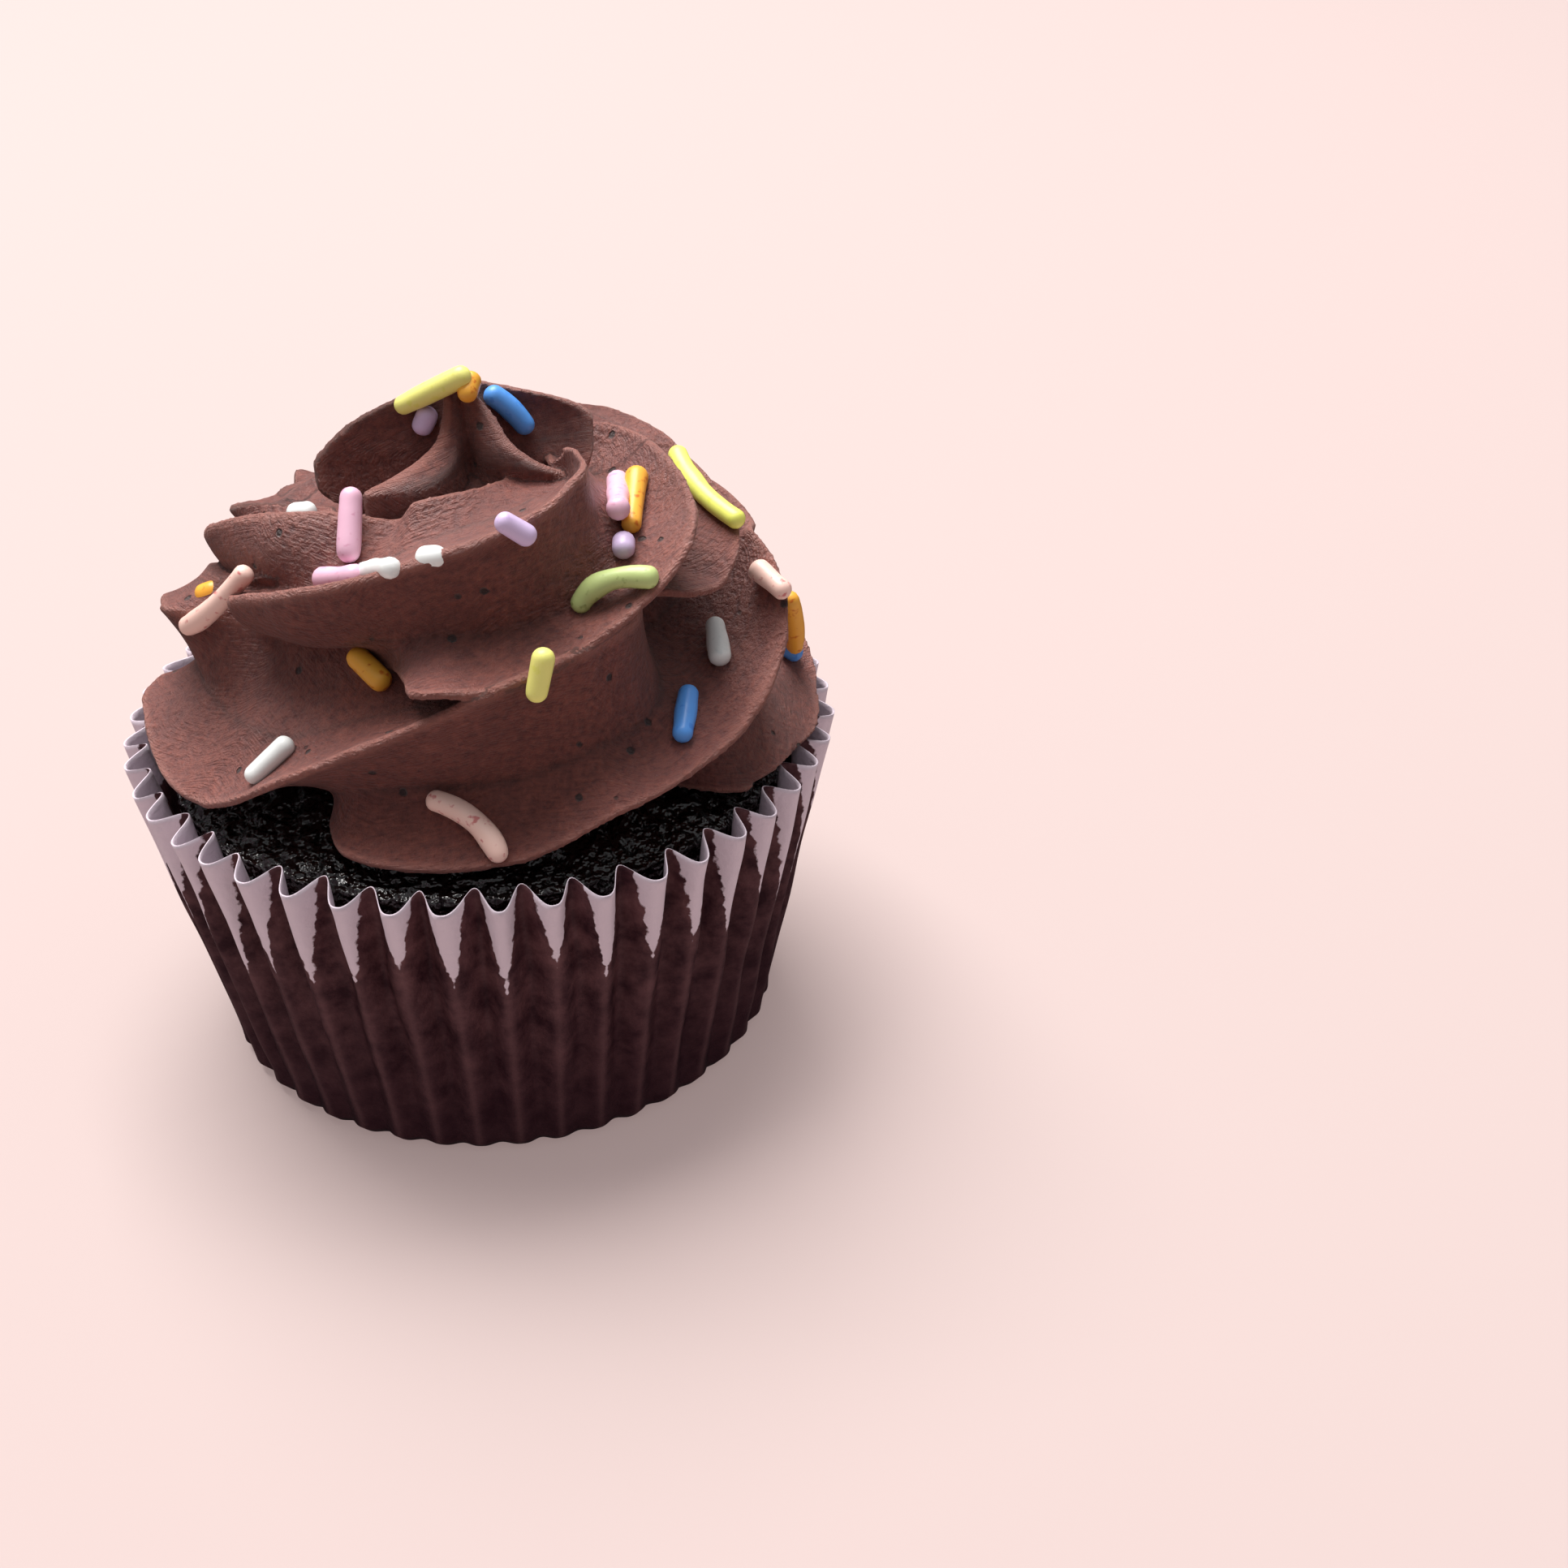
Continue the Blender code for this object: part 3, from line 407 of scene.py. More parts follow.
crumb = PIT_DEPTH * pits(cake_points, PIT_SPACING, PIT_RADIUS, PIT_SEED)
crumb += sum(depth * (1 + lumps(cake_points, size, seed)) for depth, size, seed in CRUMB_LUMPS)
cake_points = cake_points - outward * (crumb * open_crumb)[..., None]

cake_crumb, crumb_shader = new_material("moist_chocolate_crumb")
crumb_place = add_node(cake_crumb, "ShaderNodeTexCoord", {})
grain = noise(cake_crumb, crumb_place, 0.5, 5.0)
crumb_colour = mix(cake_crumb, grain.outputs["Fac"], linear("#070404"), linear("#1c0f0e"))
# Its sticky knobs, about a millimetre across, are smooth enough to glint.
knobs = noise(cake_crumb, crumb_place, 1.3, 2.0)
crumb_bump = add_node(
    cake_crumb, "ShaderNodeBump", {"Height": knobs.outputs["Fac"], "Strength": 1.0, "Distance": 1.6 * MM}
)
cake_crumb.node_tree.links.new(crumb_colour, crumb_shader.inputs["Base Color"])
cake_crumb.node_tree.links.new(crumb_bump.outputs["Normal"], crumb_shader.inputs["Normal"])
crumb_shader.inputs["Roughness"].default_value = 0.18
crumb_shader.inputs["Specular IOR Level"].default_value = 0.9

cake = closed_tube("chocolate_cake", cake_points, cake_crumb)
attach(cake, "root")
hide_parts("sponge")

# Frosting
# Stiff chocolate buttercream from a five-pointed star nozzle: one rope is piped a little over twice
# round the cake, each turn on the last, and pulled up to a peak. Its five fins keep sharp edges.
FINS = 5
FIN_STEP = 360 // FINS
FIRST_BEARING = -162
FIRST_UPPER_BEARING = 270
ROPE_START = -190
ROPE_END = 560
ROPE_ROWS = 1100
FLANK_COLUMNS = 20
FACE_COLUMNS = 12
CREASE_SHARE = 0.72
LEAST_TURN = 3
FLANK_BULGE = -0.05
FACE_BULGE = -0.08
EDGE_NICKS = 0.12
EDGE_HALF_WIDTH = 0.4
CAKE_GAP = 0.6
RIM_CLEAR_HEIGHT = 33.8
RIM_CLEAR_RADII = (29.8, 30.6)
SHOWN_FADE = 12
FROSTING_VOXEL = 0.27
FROSTING_TRIANGLES = 190000
SKIN_LUMPS = ((0.10, 7.0, 50), (0.05, 2.6, 51), (0.03, 1.1, 52))
EDGE_PACE = 0.3
FIN_SPACING = 9

# Rope's middle line: run in degrees, radius, height, and how far its creases lie from it
ROPE_PATH = [
    (-190, 15.0, 43.0, 8.0),
    (-130, 16.0, 43.6, 9.2),
    (90, 16.4, 44.0, 9.2),
    (190, 16.0, 46.6, 8.0),
    (230, 16.0, 47.4, 5.6),
    (262, 16.0, 48.4, 5.0),
    (295, 16.0, 50.4, 5.6),
    (330, 16.0, 51.6, 6.2),
    (400, 15.8, 52.6, 6.2),
    (450, 13.0, 54.0, 6.2),
    (560, 6.0, 54.5, 6.0),
]

# How a fin's edge runs as the rope turns past the fin's own bearing: turn, radius, height
LOWER_EDGE = [
    (-180, 4.0, 45.0),
    (-130, 6.0, 40.0),
    (-98, 12.0, 34.6),
    (-80, 23.0, 34.4),
    (-70, 28.6, 34.2),
    (-45, 29.4, 34.2),
    (-20, 29.8, 37.6),
    (10, 30.0, 43.0),
    (32, 27.8, 49.3),
    (60, 22.5, 52.8),
    (110, 12.0, 54.0),
    (180, 4.0, 46.0),
]
UPPER_EDGE = [
    (-180, 4.0, 46.0),
    (-80, 15.0, 46.0),
    (-66, 19.0, 48.5),
    (-58, 25.5, 50.0),
    (-30, 24.5, 51.0),
    (0, 22.6, 55.4),
    (26, 19.0, 57.6),
    (50, 14.5, 58.6),
    (90, 9.0, 59.0),
    (180, 4.0, 57.0),
]

# Stretches of edge that show most, by the fin's bearing: run, radius, height
SHOWN_EDGES = {
    -234: [(212, 14.0, 50.0), (240, 11.0, 51.0), (262, 9.0, 51.5), (290, 8.0, 52.0)],
    -162: [(-125, 24.0, 46.5), (-110, 20.5, 48.0), (-95, 17.0, 49.0), (-80, 14.0, 49.5), (-60, 12.0, 50.0)],
    -90: [
        (-115, 30.0, 38.0),
        (-100, 29.5, 41.5),
        (-90, 29.0, 44.5),
        (-80, 28.0, 46.0),
        (-74, 27.5, 47.2),
        (-69, 24.0, 47.4),
        (-60, 20.0, 46.8),
        (-45, 17.5, 47.4),
        (-10, 15.0, 49.0),
        (40, 11.0, 50.0),
    ],
    -18: [
        (-95, 24.0, 34.8),
        (-84, 30.0, 37.3),
        (-77, 31.3, 37.2),
        (-57, 31.0, 34.7),
        (-48, 30.3, 34.7),
        (-42, 29.7, 35.8),
        (-28, 28.5, 40.3),
        (-14, 27.0, 44.0),
        (15, 26.0, 50.0),
        (24, 25.5, 51.0),
        (42, 24.0, 51.6),
        (54, 20.0, 51.6),
        (66, 15.5, 51.0),
        (85, 12.0, 51.0),
    ],
    54: [
        (-34, 18.0, 34.0),
        (-23, 26.0, 34.2),
        (-17, 28.5, 34.0),
        (-7, 29.0, 33.6),
        (12, 29.0, 34.0),
        (30, 30.0, 37.5),
        (53, 30.2, 39.5),
        (72, 30.5, 44.5),
        (77, 30.0, 47.4),
        (82, 28.5, 50.0),
        (88, 26.0, 52.0),
    ],
    126: [
        (48, 22.0, 34.0),
        (54, 28.5, 33.8),
        (58, 30.5, 33.6),
        (70, 32.2, 33.6),
        (94, 32.4, 34.0),
        (105, 31.5, 36.5),
        (140, 30.0, 43.0),
        (168, 28.0, 49.0),
    ],
    198: [
        (205, 27.0, 43.0),
        (220, 24.0, 47.0),
        (233, 20.5, 49.8),
        (256, 20.5, 51.7),
        (264, 21.8, 52.4),
        (273, 20.2, 54.2),
        (285, 16.8, 55.8),
        (300, 12.5, 56.5),
    ],
    270: [
        (225, 22.5, 42.0),
        (241, 22.0, 44.5),
        (256, 22.0, 48.0),
        (264, 22.8, 50.0),
        (270, 23.8, 50.9),
        (277, 23.2, 52.8),
        (284, 22.2, 54.6),
        (292, 20.0, 56.2),
        (301, 17.8, 57.3),
        (315, 14.6, 58.0),
        (335, 10.5, 57.0),
    ],
    342: [
        (265, 11.0, 44.5),
        (285, 16.0, 46.0),
        (298, 21.0, 50.0),
        (304, 23.0, 51.0),
        (311, 22.5, 52.3),
        (334, 21.5, 55.6),
        (362, 20.5, 59.2),
        (389, 19.5, 61.8),
        (398, 18.3, 62.7),
        (406, 17.0, 63.2),
        (412, 14.5, 63.0),
        (425, 11.0, 61.5),
    ],
    414: [
        (320, 11.0, 46.0),
        (335, 15.0, 46.0),
        (347, 19.0, 47.5),
        (353, 23.0, 48.8),
        (357, 26.5, 49.5),
        (362, 27.2, 49.9),
        (368, 26.5, 49.4),
        (398, 25.0, 52.5),
        (415, 25.5, 56.8),
        (421, 24.5, 58.1),
        (438, 19.8, 60.0),
        (450, 17.0, 60.2),
        (490, 9.5, 59.0),
    ],
    486: [
        (395, 15.0, 47.0),
        (408, 19.0, 49.5),
        (416, 21.5, 51.3),
        (422, 24.3, 50.8),
        (427, 25.5, 50.8),
        (432, 26.0, 52.5),
        (437, 25.7, 53.8),
        (450, 22.6, 55.7),
        (462, 20.6, 56.8),
        (490, 17.0, 58.2),
        (505, 14.5, 58.6),
        (530, 10.0, 59.0),
    ],
}

# Creases that show most, by the bearing of the fin below them: run, radius, height
SHOWN_CREASES = {
    -18: [(-85, 25.0, 38.0), (-43, 24.0, 40.2), (-14, 20.7, 41.4), (10, 20.0, 45.0), (30, 20.0, 47.0)],
    54: [
        (-30, 22.5, 35.6),
        (-20, 23.5, 36.6),
        (-7, 23.5, 38.1),
        (39, 23.7, 39.5),
        (50, 22.8, 40.4),
        (60, 19.5, 41.8),
        (70, 16.0, 43.4),
        (80, 14.5, 45.0),
        (92, 14.0, 47.0),
    ],
    126: [(56, 25.0, 34.6), (66, 26.0, 34.6), (80, 26.0, 36.5), (100, 25.5, 40.0)],
    342: [
        (262, 20.0, 46.5),
        (285, 19.5, 48.0),
        (298, 19.4, 49.6),
        (312, 18.6, 51.6),
        (328, 17.0, 54.0),
        (345, 14.8, 56.2),
        (360, 12.8, 57.3),
        (400, 11.0, 58.5),
    ],
    414: [
        (300, 19.6, 46.4),
        (312, 19.4, 46.9),
        (325, 19.3, 47.8),
        (337, 19.4, 49.2),
        (347, 19.6, 50.4),
        (361, 19.9, 51.0),
        (380, 19.9, 51.2),
        (393, 19.8, 51.8),
        (404, 19.6, 54.3),
        (420, 18.0, 56.3),
        (440, 14.0, 57.0),
        (460, 10.0, 57.0),
    ],
    486: [(412, 20.0, 49.0), (418, 19.0, 48.8), (426, 18.5, 49.3), (435, 18.0, 51.0), (460, 17.0, 53.5)],
}

# Flanks that swell instead of sagging, by the fin's bearing: run, share of the flank's length
SHOWN_SWELLS = {
    270: [(236, FLANK_BULGE), (262, 0.16), (305, 0.15), (345, FLANK_BULGE)],
    342: [(285, FLANK_BULGE), (302, 0.16), (325, 0.12), (350, 0.04), (395, FLANK_BULGE)],
}

# Peak where the nozzle lifts off: each petal's edge, and the crease after it, as height, radius,
# bearing; then how far the two sides of that crease swell past a straight line
PEAK_PETALS = [
    (
        [
            (54.5, 9.5, -72),
            (57.2, 12.8, -76),
            (59.1, 12.9, -78),
            (60.9, 11.5, -79),
            (62.9, 8.9, -80),
            (66.0, 2.0, -80),
        ],
        [(54.5, 6.0, -60), (58.0, 3.6, -58), (60.0, 2.6, -50), (62.0, 1.6, -44), (66.0, 0.4, -40)],
        (-0.06, -0.03),
    ),
    (
        [
            (54.5, 8.0, -38),
            (56.5, 10.8, -42),
            (58.7, 10.9, -42),
            (59.8, 8.6, -34),
            (60.8, 5.6, -26),
            (62.0, 3.6, -17),
            (63.5, 2.5, -16),
            (66.0, 1.4, -25),
        ],
        [(54.5, 3.2, 26), (57.0, 2.6, 27), (60.0, 1.4, 28), (62.5, 0.8, 30), (66.0, 0.3, 30)],
        (0.24, 0.16),
    ),
    (
        [
            (54.5, 8.5, 74),
            (57.0, 11.6, 77),
            (58.2, 11.2, 74),
            (58.9, 10.0, 68),
            (60.2, 8.0, 59),
            (61.7, 6.0, 53),
            (63.7, 4.0, 56),
            (66.2, 1.6, 45),
        ],
        [(54.5, 6.5, 78), (58.0, 6.0, 79), (60.0, 4.6, 77), (62.0, 3.2, 76), (66.2, 0.7, 76)],
        (-0.08, -0.08),
    ),
    (
        [
            (54.5, 9.0, 88),
            (57.5, 11.2, 87),
            (60.0, 11.9, 94),
            (62.0, 11.9, 97),
            (63.1, 10.7, 98),
            (64.0, 8.5, 99),
            (64.8, 5.7, 99),
            (65.6, 2.8, 100),
            (66.3, 0.9, 100),
        ],
        [(54.5, 6.0, 135), (60.0, 4.6, 135), (66.0, 0.7, 135)],
        (0.05, -0.04),
    ),
    (
        [(54.5, 9.5, 182), (57.5, 12.0, 180), (59.5, 11.8, 178), (61.5, 9.4, 176), (66.0, 1.6, 176)],
        [(54.5, 6.0, 238), (60.0, 4.8, 238), (66.0, 0.7, 238)],
        (0.08, -0.04),
    ),
]
PEAK_FOOT = 54.5
PEAK_TIP = 66.3
PEAK_ROWS = 110
CORE_RADIUS = 12.0
CORE_HALF_HEIGHT = 18.0
CORE_CENTRE_HEIGHT = 40.5
CORE_ROWS = 18
CORE_COLUMNS = 40
CORE_POLE = 0.06


def through(keys, run):
    """A smooth curve through listed keys (run, values): cubic between keys, level past the ends,
    with slopes that never overshoot."""
    keys = np.array(keys, float)
    knots, values = keys[:, 0], keys[:, 1:]
    run = np.clip(run, knots[0], knots[-1])
    cell = np.clip(np.searchsorted(knots, run) - 1, 0, len(knots) - 2)
    step = np.diff(knots)[:, None]
    slope = np.diff(values, axis=0) / step
    product = slope[1:] * slope[:-1]
    total = slope[1:] + slope[:-1]
    inner = np.where(product > 0, 2 * product / np.where(total == 0, 1, total), 0)
    tangent = np.vstack([slope[:1], inner, slope[-1:]])
    t = ((run - knots[cell]) / step[cell, 0])[:, None]
    return (
        values[cell] * (1 + 2 * t) * (1 - t) ** 2
        + step[cell] * tangent[cell] * t * (1 - t) ** 2
        + values[cell + 1] * t * t * (3 - 2 * t)
        + step[cell] * tangent[cell + 1] * t * t * (t - 1)
    )


def with_shown(shown, run, ruled):
    """Blend a listed stretch into a ruled curve over its run. Places are radius + height * i."""
    rise = eased(run, shown[0][0] - SHOWN_FADE, shown[0][0])
    weight = rise * (1 - eased(run, shown[-1][0], shown[-1][0] + SHOWN_FADE))
    return ruled + (through(shown, run) @ (1, 1j) - ruled) * weight


def fin_bearings(fin, run):
    """The bearing at which this fin last faces, or next will face, for each point of the run."""
    first = FIRST_BEARING + FIN_STEP * fin
    return first + 360 * np.round((run - first) / 360)


def is_fin(fin, bearing):
    """Whether the fin faces this bearing on one of its turns."""
    return (bearing - FIRST_BEARING - FIN_STEP * fin) % 360 == 0


def fin_edge(fin, run):
    """One fin's edge along the rope, as radius + height * i: ruled, then as shown where it shows."""
    bearing = fin_bearings(fin, run)
    lower = through(LOWER_EDGE, run - bearing) @ (1, 1j)
    upper = through(UPPER_EDGE, run - bearing) @ (1, 1j)
    edge = np.where(bearing >= FIRST_UPPER_BEARING, upper, lower)
    for shown_bearing, shown in SHOWN_EDGES.items():
        if is_fin(fin, shown_bearing):
            edge = with_shown(shown, run, edge)
    along = np.stack([run * EDGE_PACE, 0 * run + FIN_SPACING * fin, 0 * run], axis=-1)
    return edge + EDGE_NICKS * (lumps(along, 1.3, 60) + lumps(along, 3.0, 61) * (1 + 1j))


def fold_side(edge, crease, nearness, bulge, outward):
    """A point between a crease and the edge it rises to. The way swells out by a share of its length,
    and the edge is blunt: it lies half the edge's width off the line."""
    way = edge - crease
    side = outward * way / np.abs(way)
    swell = 4 * bulge * np.abs(way) * nearness * (1 - nearness)
    return crease + way * nearness + side * (swell + EDGE_HALF_WIDTH * nearness)


def folded(edges, creases, bulges, outward):
    """A star's outline from its edges and the creases between: from each edge to the crease after it
    and on to the next edge. Outward is 1j or -1j, by which way round the edges are listed. It returns
    the points and their nearness to an edge."""
    points = []
    nearness = []
    for index, (edge, crease) in enumerate(zip(edges, creases)):
        following = edges[(index + 1) % len(edges)]
        for near in np.linspace(1, 0, FLANK_COLUMNS):
            points.append(fold_side(edge, crease, near, bulges[index][0], -outward))
            nearness.append(near + 0 * edge.real)
        for near in np.linspace(0, 1, FACE_COLUMNS)[1:]:
            points.append(fold_side(following, crease, near, bulges[index][1], outward))
            nearness.append(near + 0 * edge.real)
    return np.array(points).T, np.array(nearness).T


def rope_sections(run):
    """The rope's star-shaped sections along the run, as radius + height * i, and nearness to an edge."""
    path = through(ROPE_PATH, run)
    middle = path[:, :2] @ (1, 1j)
    edges = [fin_edge(fin, run) for fin in range(FINS)]
    angles = []
    for fin, edge in enumerate(edges):
        ruled = run - fin_bearings(fin, run)
        angles.append(ruled + (np.angle(edge - middle, deg=True) - ruled + 180) % 360 - 180)
    creases = []
    for fin in range(FINS):
        below = (fin + 1) % FINS
        gap = (angles[fin] - angles[below]) % 360
        crease = middle + path[:, 2] * np.exp(1j * np.radians(angles[fin] - gap * CREASE_SHARE))
        for shown_bearing, shown in SHOWN_CREASES.items():
            if is_fin(below, shown_bearing):
                crease = with_shown(shown, run, crease)
        spoke = crease - middle
        turn = np.clip((angles[fin] - np.angle(spoke, deg=True)) % 360, LEAST_TURN, gap - LEAST_TURN)
        creases.append(middle + np.abs(spoke) * np.exp(1j * np.radians(angles[fin] - turn)))
    swells = [FLANK_BULGE + 0 * run] * FINS
    for shown_bearing, shown in SHOWN_SWELLS.items():
        fin = (shown_bearing - FIRST_BEARING) // FIN_STEP % FINS
        swells[fin] = through(shown, run)[:, 0]
    return folded(edges, creases, [(swell, FACE_BULGE) for swell in swells], 1j)


def rope_rings():
    """The rope as rings of points, kept clear of the cake and of the paper's rim, and how it flowed."""
    run = np.linspace(ROPE_START, ROPE_END, ROPE_ROWS)
    section, edge = rope_sections(run)
    radius = section.real
    over_rim = eased(np.abs(radius), *RIM_CLEAR_RADII) * RIM_CLEAR_HEIGHT
    height = np.maximum(section.imag, np.maximum(cake_top(radius) + CAKE_GAP, over_rim))
    along = np.radians(run)[:, None] * through(ROPE_PATH, run)[:, :1] + 0 * radius
    across = np.cumsum(np.abs(np.diff(section, prepend=0, axis=1)), axis=1)
    flow = np.stack([along, across, edge, 1 + 0 * edge], axis=-1)
    return at_bearing(run[:, None], radius, height)[:, ::-1], flow[:, ::-1]


def peak_rings():
    """The last of the rope, standing: five petals that curl apart as they come down from the tip."""
    heights = np.linspace(PEAK_FOOT, PEAK_TIP, PEAK_ROWS)
    edges = []
    creases = []
    for edge_keys, crease_keys, _ in PEAK_PETALS:
        for keys, outline in ((edge_keys, edges), (crease_keys, creases)):
            radius, bearing = through(keys, heights).T
            outline.append(radius * np.exp(1j * np.radians(bearing)))
    bulges = [swells for _, _, swells in PEAK_PETALS]
    section, edge = folded(edges, creases, bulges, -1j)
    across = np.cumsum(np.abs(np.diff(section, prepend=0, axis=1)), axis=1)
    flow = np.stack([heights[:, None] + 0 * edge, across, edge, 1 + 0 * edge], axis=-1)
    return at_bearing(np.angle(section, deg=True), np.abs(section), heights[:, None]), flow


def core_rings():
    """Frosting inside the coil, so that the swirl is solid: an egg with its foot cut level."""
    angle = np.linspace(CORE_POLE, 1 - CORE_POLE, CORE_ROWS)[:, None] * math.pi
    bearing = np.arange(CORE_COLUMNS) * 360 / CORE_COLUMNS
    height = np.maximum(CORE_CENTRE_HEIGHT - CORE_HALF_HEIGHT * np.cos(angle), CAKE_CROWN + CAKE_GAP)
    rings = at_bearing(bearing, CORE_RADIUS * np.sin(angle), height)
    return rings, np.zeros((*rings.shape[:2], 4))


def keep_evaluated(piece):
    """Replace the piece's mesh by what its modifiers make of it."""
    graph = bpy.context.evaluated_depsgraph_get()
    mesh = bpy.data.meshes.new_from_object(piece.evaluated_get(graph))
    piece.modifiers.clear()
    piece.data = mesh


buttercream, cream_shader = new_material("piped_chocolate_buttercream")
flow_read = add_node(buttercream, "ShaderNodeAttribute", {}, attribute_name="flow")
flow_parts = add_node(buttercream, "ShaderNodeSeparateColor", {"Color": flow_read.outputs["Color"]})
cream_place = add_node(buttercream, "ShaderNodeTexCoord", {})
# The nozzle drags the cream into fine streaks, about 1.5 mm long and 0.3 mm wide.
streak_place = add_node(
    buttercream,
    "ShaderNodeVectorMath",
    {0: flow_read.outputs["Color"], 1: (0.7, 3.6, 0.0)},
    operation="MULTIPLY",
)
streaks = add_node(
    buttercream, "ShaderNodeTexNoise", {"Vector": streak_place.outputs["Vector"], "Scale": 1.0, "Detail": 4.0}
)
# Its skin dries to a sugary grain: flecks of about 0.3 mm, in patches of a few millimetres.
sugar = noise(buttercream, cream_place, 0.65, 6.0, 0.62)
patches = noise(buttercream, cream_place, 6.0, 3.0)
# Small air bubbles open as pores, one every few millimetres; they are bumped in, and their dark is painted
# shade.
bubbles = add_node(
    buttercream, "ShaderNodeTexVoronoi", {"Vector": cream_place.outputs["Object"], "Scale": 1 / (3.6 * MM)}
)
pore_edge = add_node(
    buttercream,
    "ShaderNodeMath",
    {0: sugar.outputs["Fac"], 1: 0.12, 2: bubbles.outputs["Distance"]},
    operation="MULTIPLY_ADD",
)
pore = add_node(
    buttercream,
    "ShaderNodeMapRange",
    {"Value": pore_edge.outputs["Value"], "From Min": 0.13, "From Max": 0.17, "To Min": 1.0, "To Max": 0.0},
)
tone = add_node(
    buttercream,
    "ShaderNodeMath",
    {0: streaks.outputs["Fac"], 1: 0.45, 2: sugar.outputs["Fac"]},
    operation="MULTIPLY_ADD",
)
tone_share = add_node(
    buttercream, "ShaderNodeMapRange", {"Value": tone.outputs["Value"], "From Min": 0.5, "From Max": 0.95}
)
body_colour = mix(buttercream, tone_share.outputs["Result"], linear("#5a1d17"), linear("#914b3c"))
patch_share = add_node(
    buttercream,
    "ShaderNodeMapRange",
    {"Value": patches.outputs["Fac"], "From Min": 0.4, "From Max": 0.65, "To Max": 0.35},
)
patched = mix(buttercream, patch_share.outputs["Result"], body_colour, linear("#592420"))
# The fins' thin edges are painted lighter: a painted highlight.
edge_highlight_share = add_node(
    buttercream,
    "ShaderNodeMapRange",
    {"Value": flow_parts.outputs["Blue"], "From Min": 0.88, "From Max": 0.98, "To Max": 0.45},
)
edge_highlighted = mix(buttercream, edge_highlight_share.outputs["Result"], patched, linear("#a86a5c"))
# Creases, where the light hardly reaches, are painted darker: painted shade.
crease_shade_share = add_node(
    buttercream,
    "ShaderNodeMapRange",
    {"Value": flow_parts.outputs["Blue"], "From Min": 0.0, "From Max": 0.08, "To Min": 0.4, "To Max": 0.0},
)
crease_shaded = mix(buttercream, crease_shade_share.outputs["Result"], edge_highlighted, linear("#34130f"))
# The pores take the same painted shade as the creases.
cream_colour = mix(buttercream, pore.outputs["Result"], crease_shaded, linear("#34130f"))
relief = add_node(
    buttercream,
    "ShaderNodeMath",
    {0: pore.outputs["Result"], 1: -1.5, 2: tone.outputs["Value"]},
    operation="MULTIPLY_ADD",
)
cream_bump = add_node(
    buttercream, "ShaderNodeBump", {"Height": relief.outputs["Value"], "Strength": 1.0, "Distance": 0.5 * MM}
)
buttercream.node_tree.links.new(cream_colour, cream_shader.inputs["Base Color"])
buttercream.node_tree.links.new(cream_bump.outputs["Normal"], cream_shader.inputs["Normal"])
cream_shader.inputs["Roughness"].default_value = 0.44
cream_shader.inputs["Specular IOR Level"].default_value = 0.8
cream_shader.inputs["Sheen Weight"].default_value = 0.12
cream_shader.inputs["Sheen Roughness"].default_value = 0.5

flowed_rings = [rope_rings(), peak_rings(), core_rings()]
flowed_points = []
flowed_faces = []
flows = []
for rings, flow in flowed_rings:
    start = sum(len(part) for part in flowed_points)
    flowed_points.append(with_ends(rings))
    flowed_faces += [[start + corner for corner in face] for face in ring_faces(*rings.shape[:2])]
    flows.append(with_ends(flow))
unfused = surface("unfused", np.vstack(flowed_points), flowed_faces, buttercream)
flow_layer = unfused.data.attributes.new("flow", "FLOAT_COLOR", "POINT")
flow_layer.data.foreach_set("color", np.vstack(flows).ravel())
swirl = unfused.copy()
swirl.data = unfused.data.copy()
swirl.name = "piped_frosting"
bpy.context.scene.collection.objects.link(swirl)
fused = swirl.modifiers.new("fused", "REMESH")
fused.mode = "VOXEL"
fused.voxel_size = FROSTING_VOXEL * MM
keep_evaluated(swirl)
swirl.modifiers.new("even", "SMOOTH").iterations = 1
thinned = swirl.modifiers.new("thinned", "DECIMATE")
thinned.ratio = min(1, FROSTING_TRIANGLES / (2 * len(swirl.data.polygons)))
keep_evaluated(swirl)
swirl.data.attributes.new("flow", "FLOAT_COLOR", "POINT")
carried = swirl.modifiers.new("carried", "DATA_TRANSFER")
carried.object = unfused
carried.use_vert_data = True
carried.data_types_verts = {"COLOR_VERTEX"}
carried.vert_mapping = "POLYINTERP_NEAREST"
keep_evaluated(swirl)
bpy.data.objects.remove(unfused)

count = len(swirl.data.vertices)
skin = np.empty(count * 3, np.float32)
swirl.data.vertices.foreach_get("co", skin)
skin = skin.reshape(-1, 3) / MM
normals = np.empty(count * 3, np.float32)
swirl.data.vertex_normals.foreach_get("vector", normals)
normals = normals.reshape(-1, 3)
swell = sum(height * lumps(skin, size, seed) for height, size, seed in SKIN_LUMPS)
skin = skin + normals * swell[:, None]
skin[:, 2] = np.maximum(skin[:, 2], cake_top(np.hypot(skin[:, 0], skin[:, 1])) + CAKE_CLEARANCE)
swirl.data.vertices.foreach_set("co", (skin * MM).astype(np.float32).ravel())
swirl.data.update()
swirl.data.shade_smooth()
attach(swirl, "root")
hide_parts("frosting")

# Sprinkles
# Rods of coloured sugar paste, cut while soft: up to 12 mm long and about 2 mm thick, round-ended,
# often bent or pinched. They are scattered by hand and lie sunk a little in the frosting.
SPRINKLE_RADIUS = 0.98
SPRINKLE_LENGTH = 6.5
SPRINKLE_SINK = 0.25
SIGHT_SAMPLES = 7
SIGHT_INSET = 0.6
SIGHT_OVERLAP = 0.05
LEAST_FACING = 0.3
SPRINKLE_RINGS = 22
SPRINKLE_SIDES = 14
PINCH = 0.1
PINCH_LENGTH = 2.0
END_POWER = 2.4
LEAST_END = 0.0004
LINE_STEP = 0.01
ASIDE = (0.31, 0.17, 0.93)
HIDDEN_SPRINKLES = 16
HIDDEN_BEARINGS = (115, 265)
HIDDEN_HEIGHTS = (36, 60)
HIDDEN_SPAN = 1.4
SPRINKLE_SEED = 7

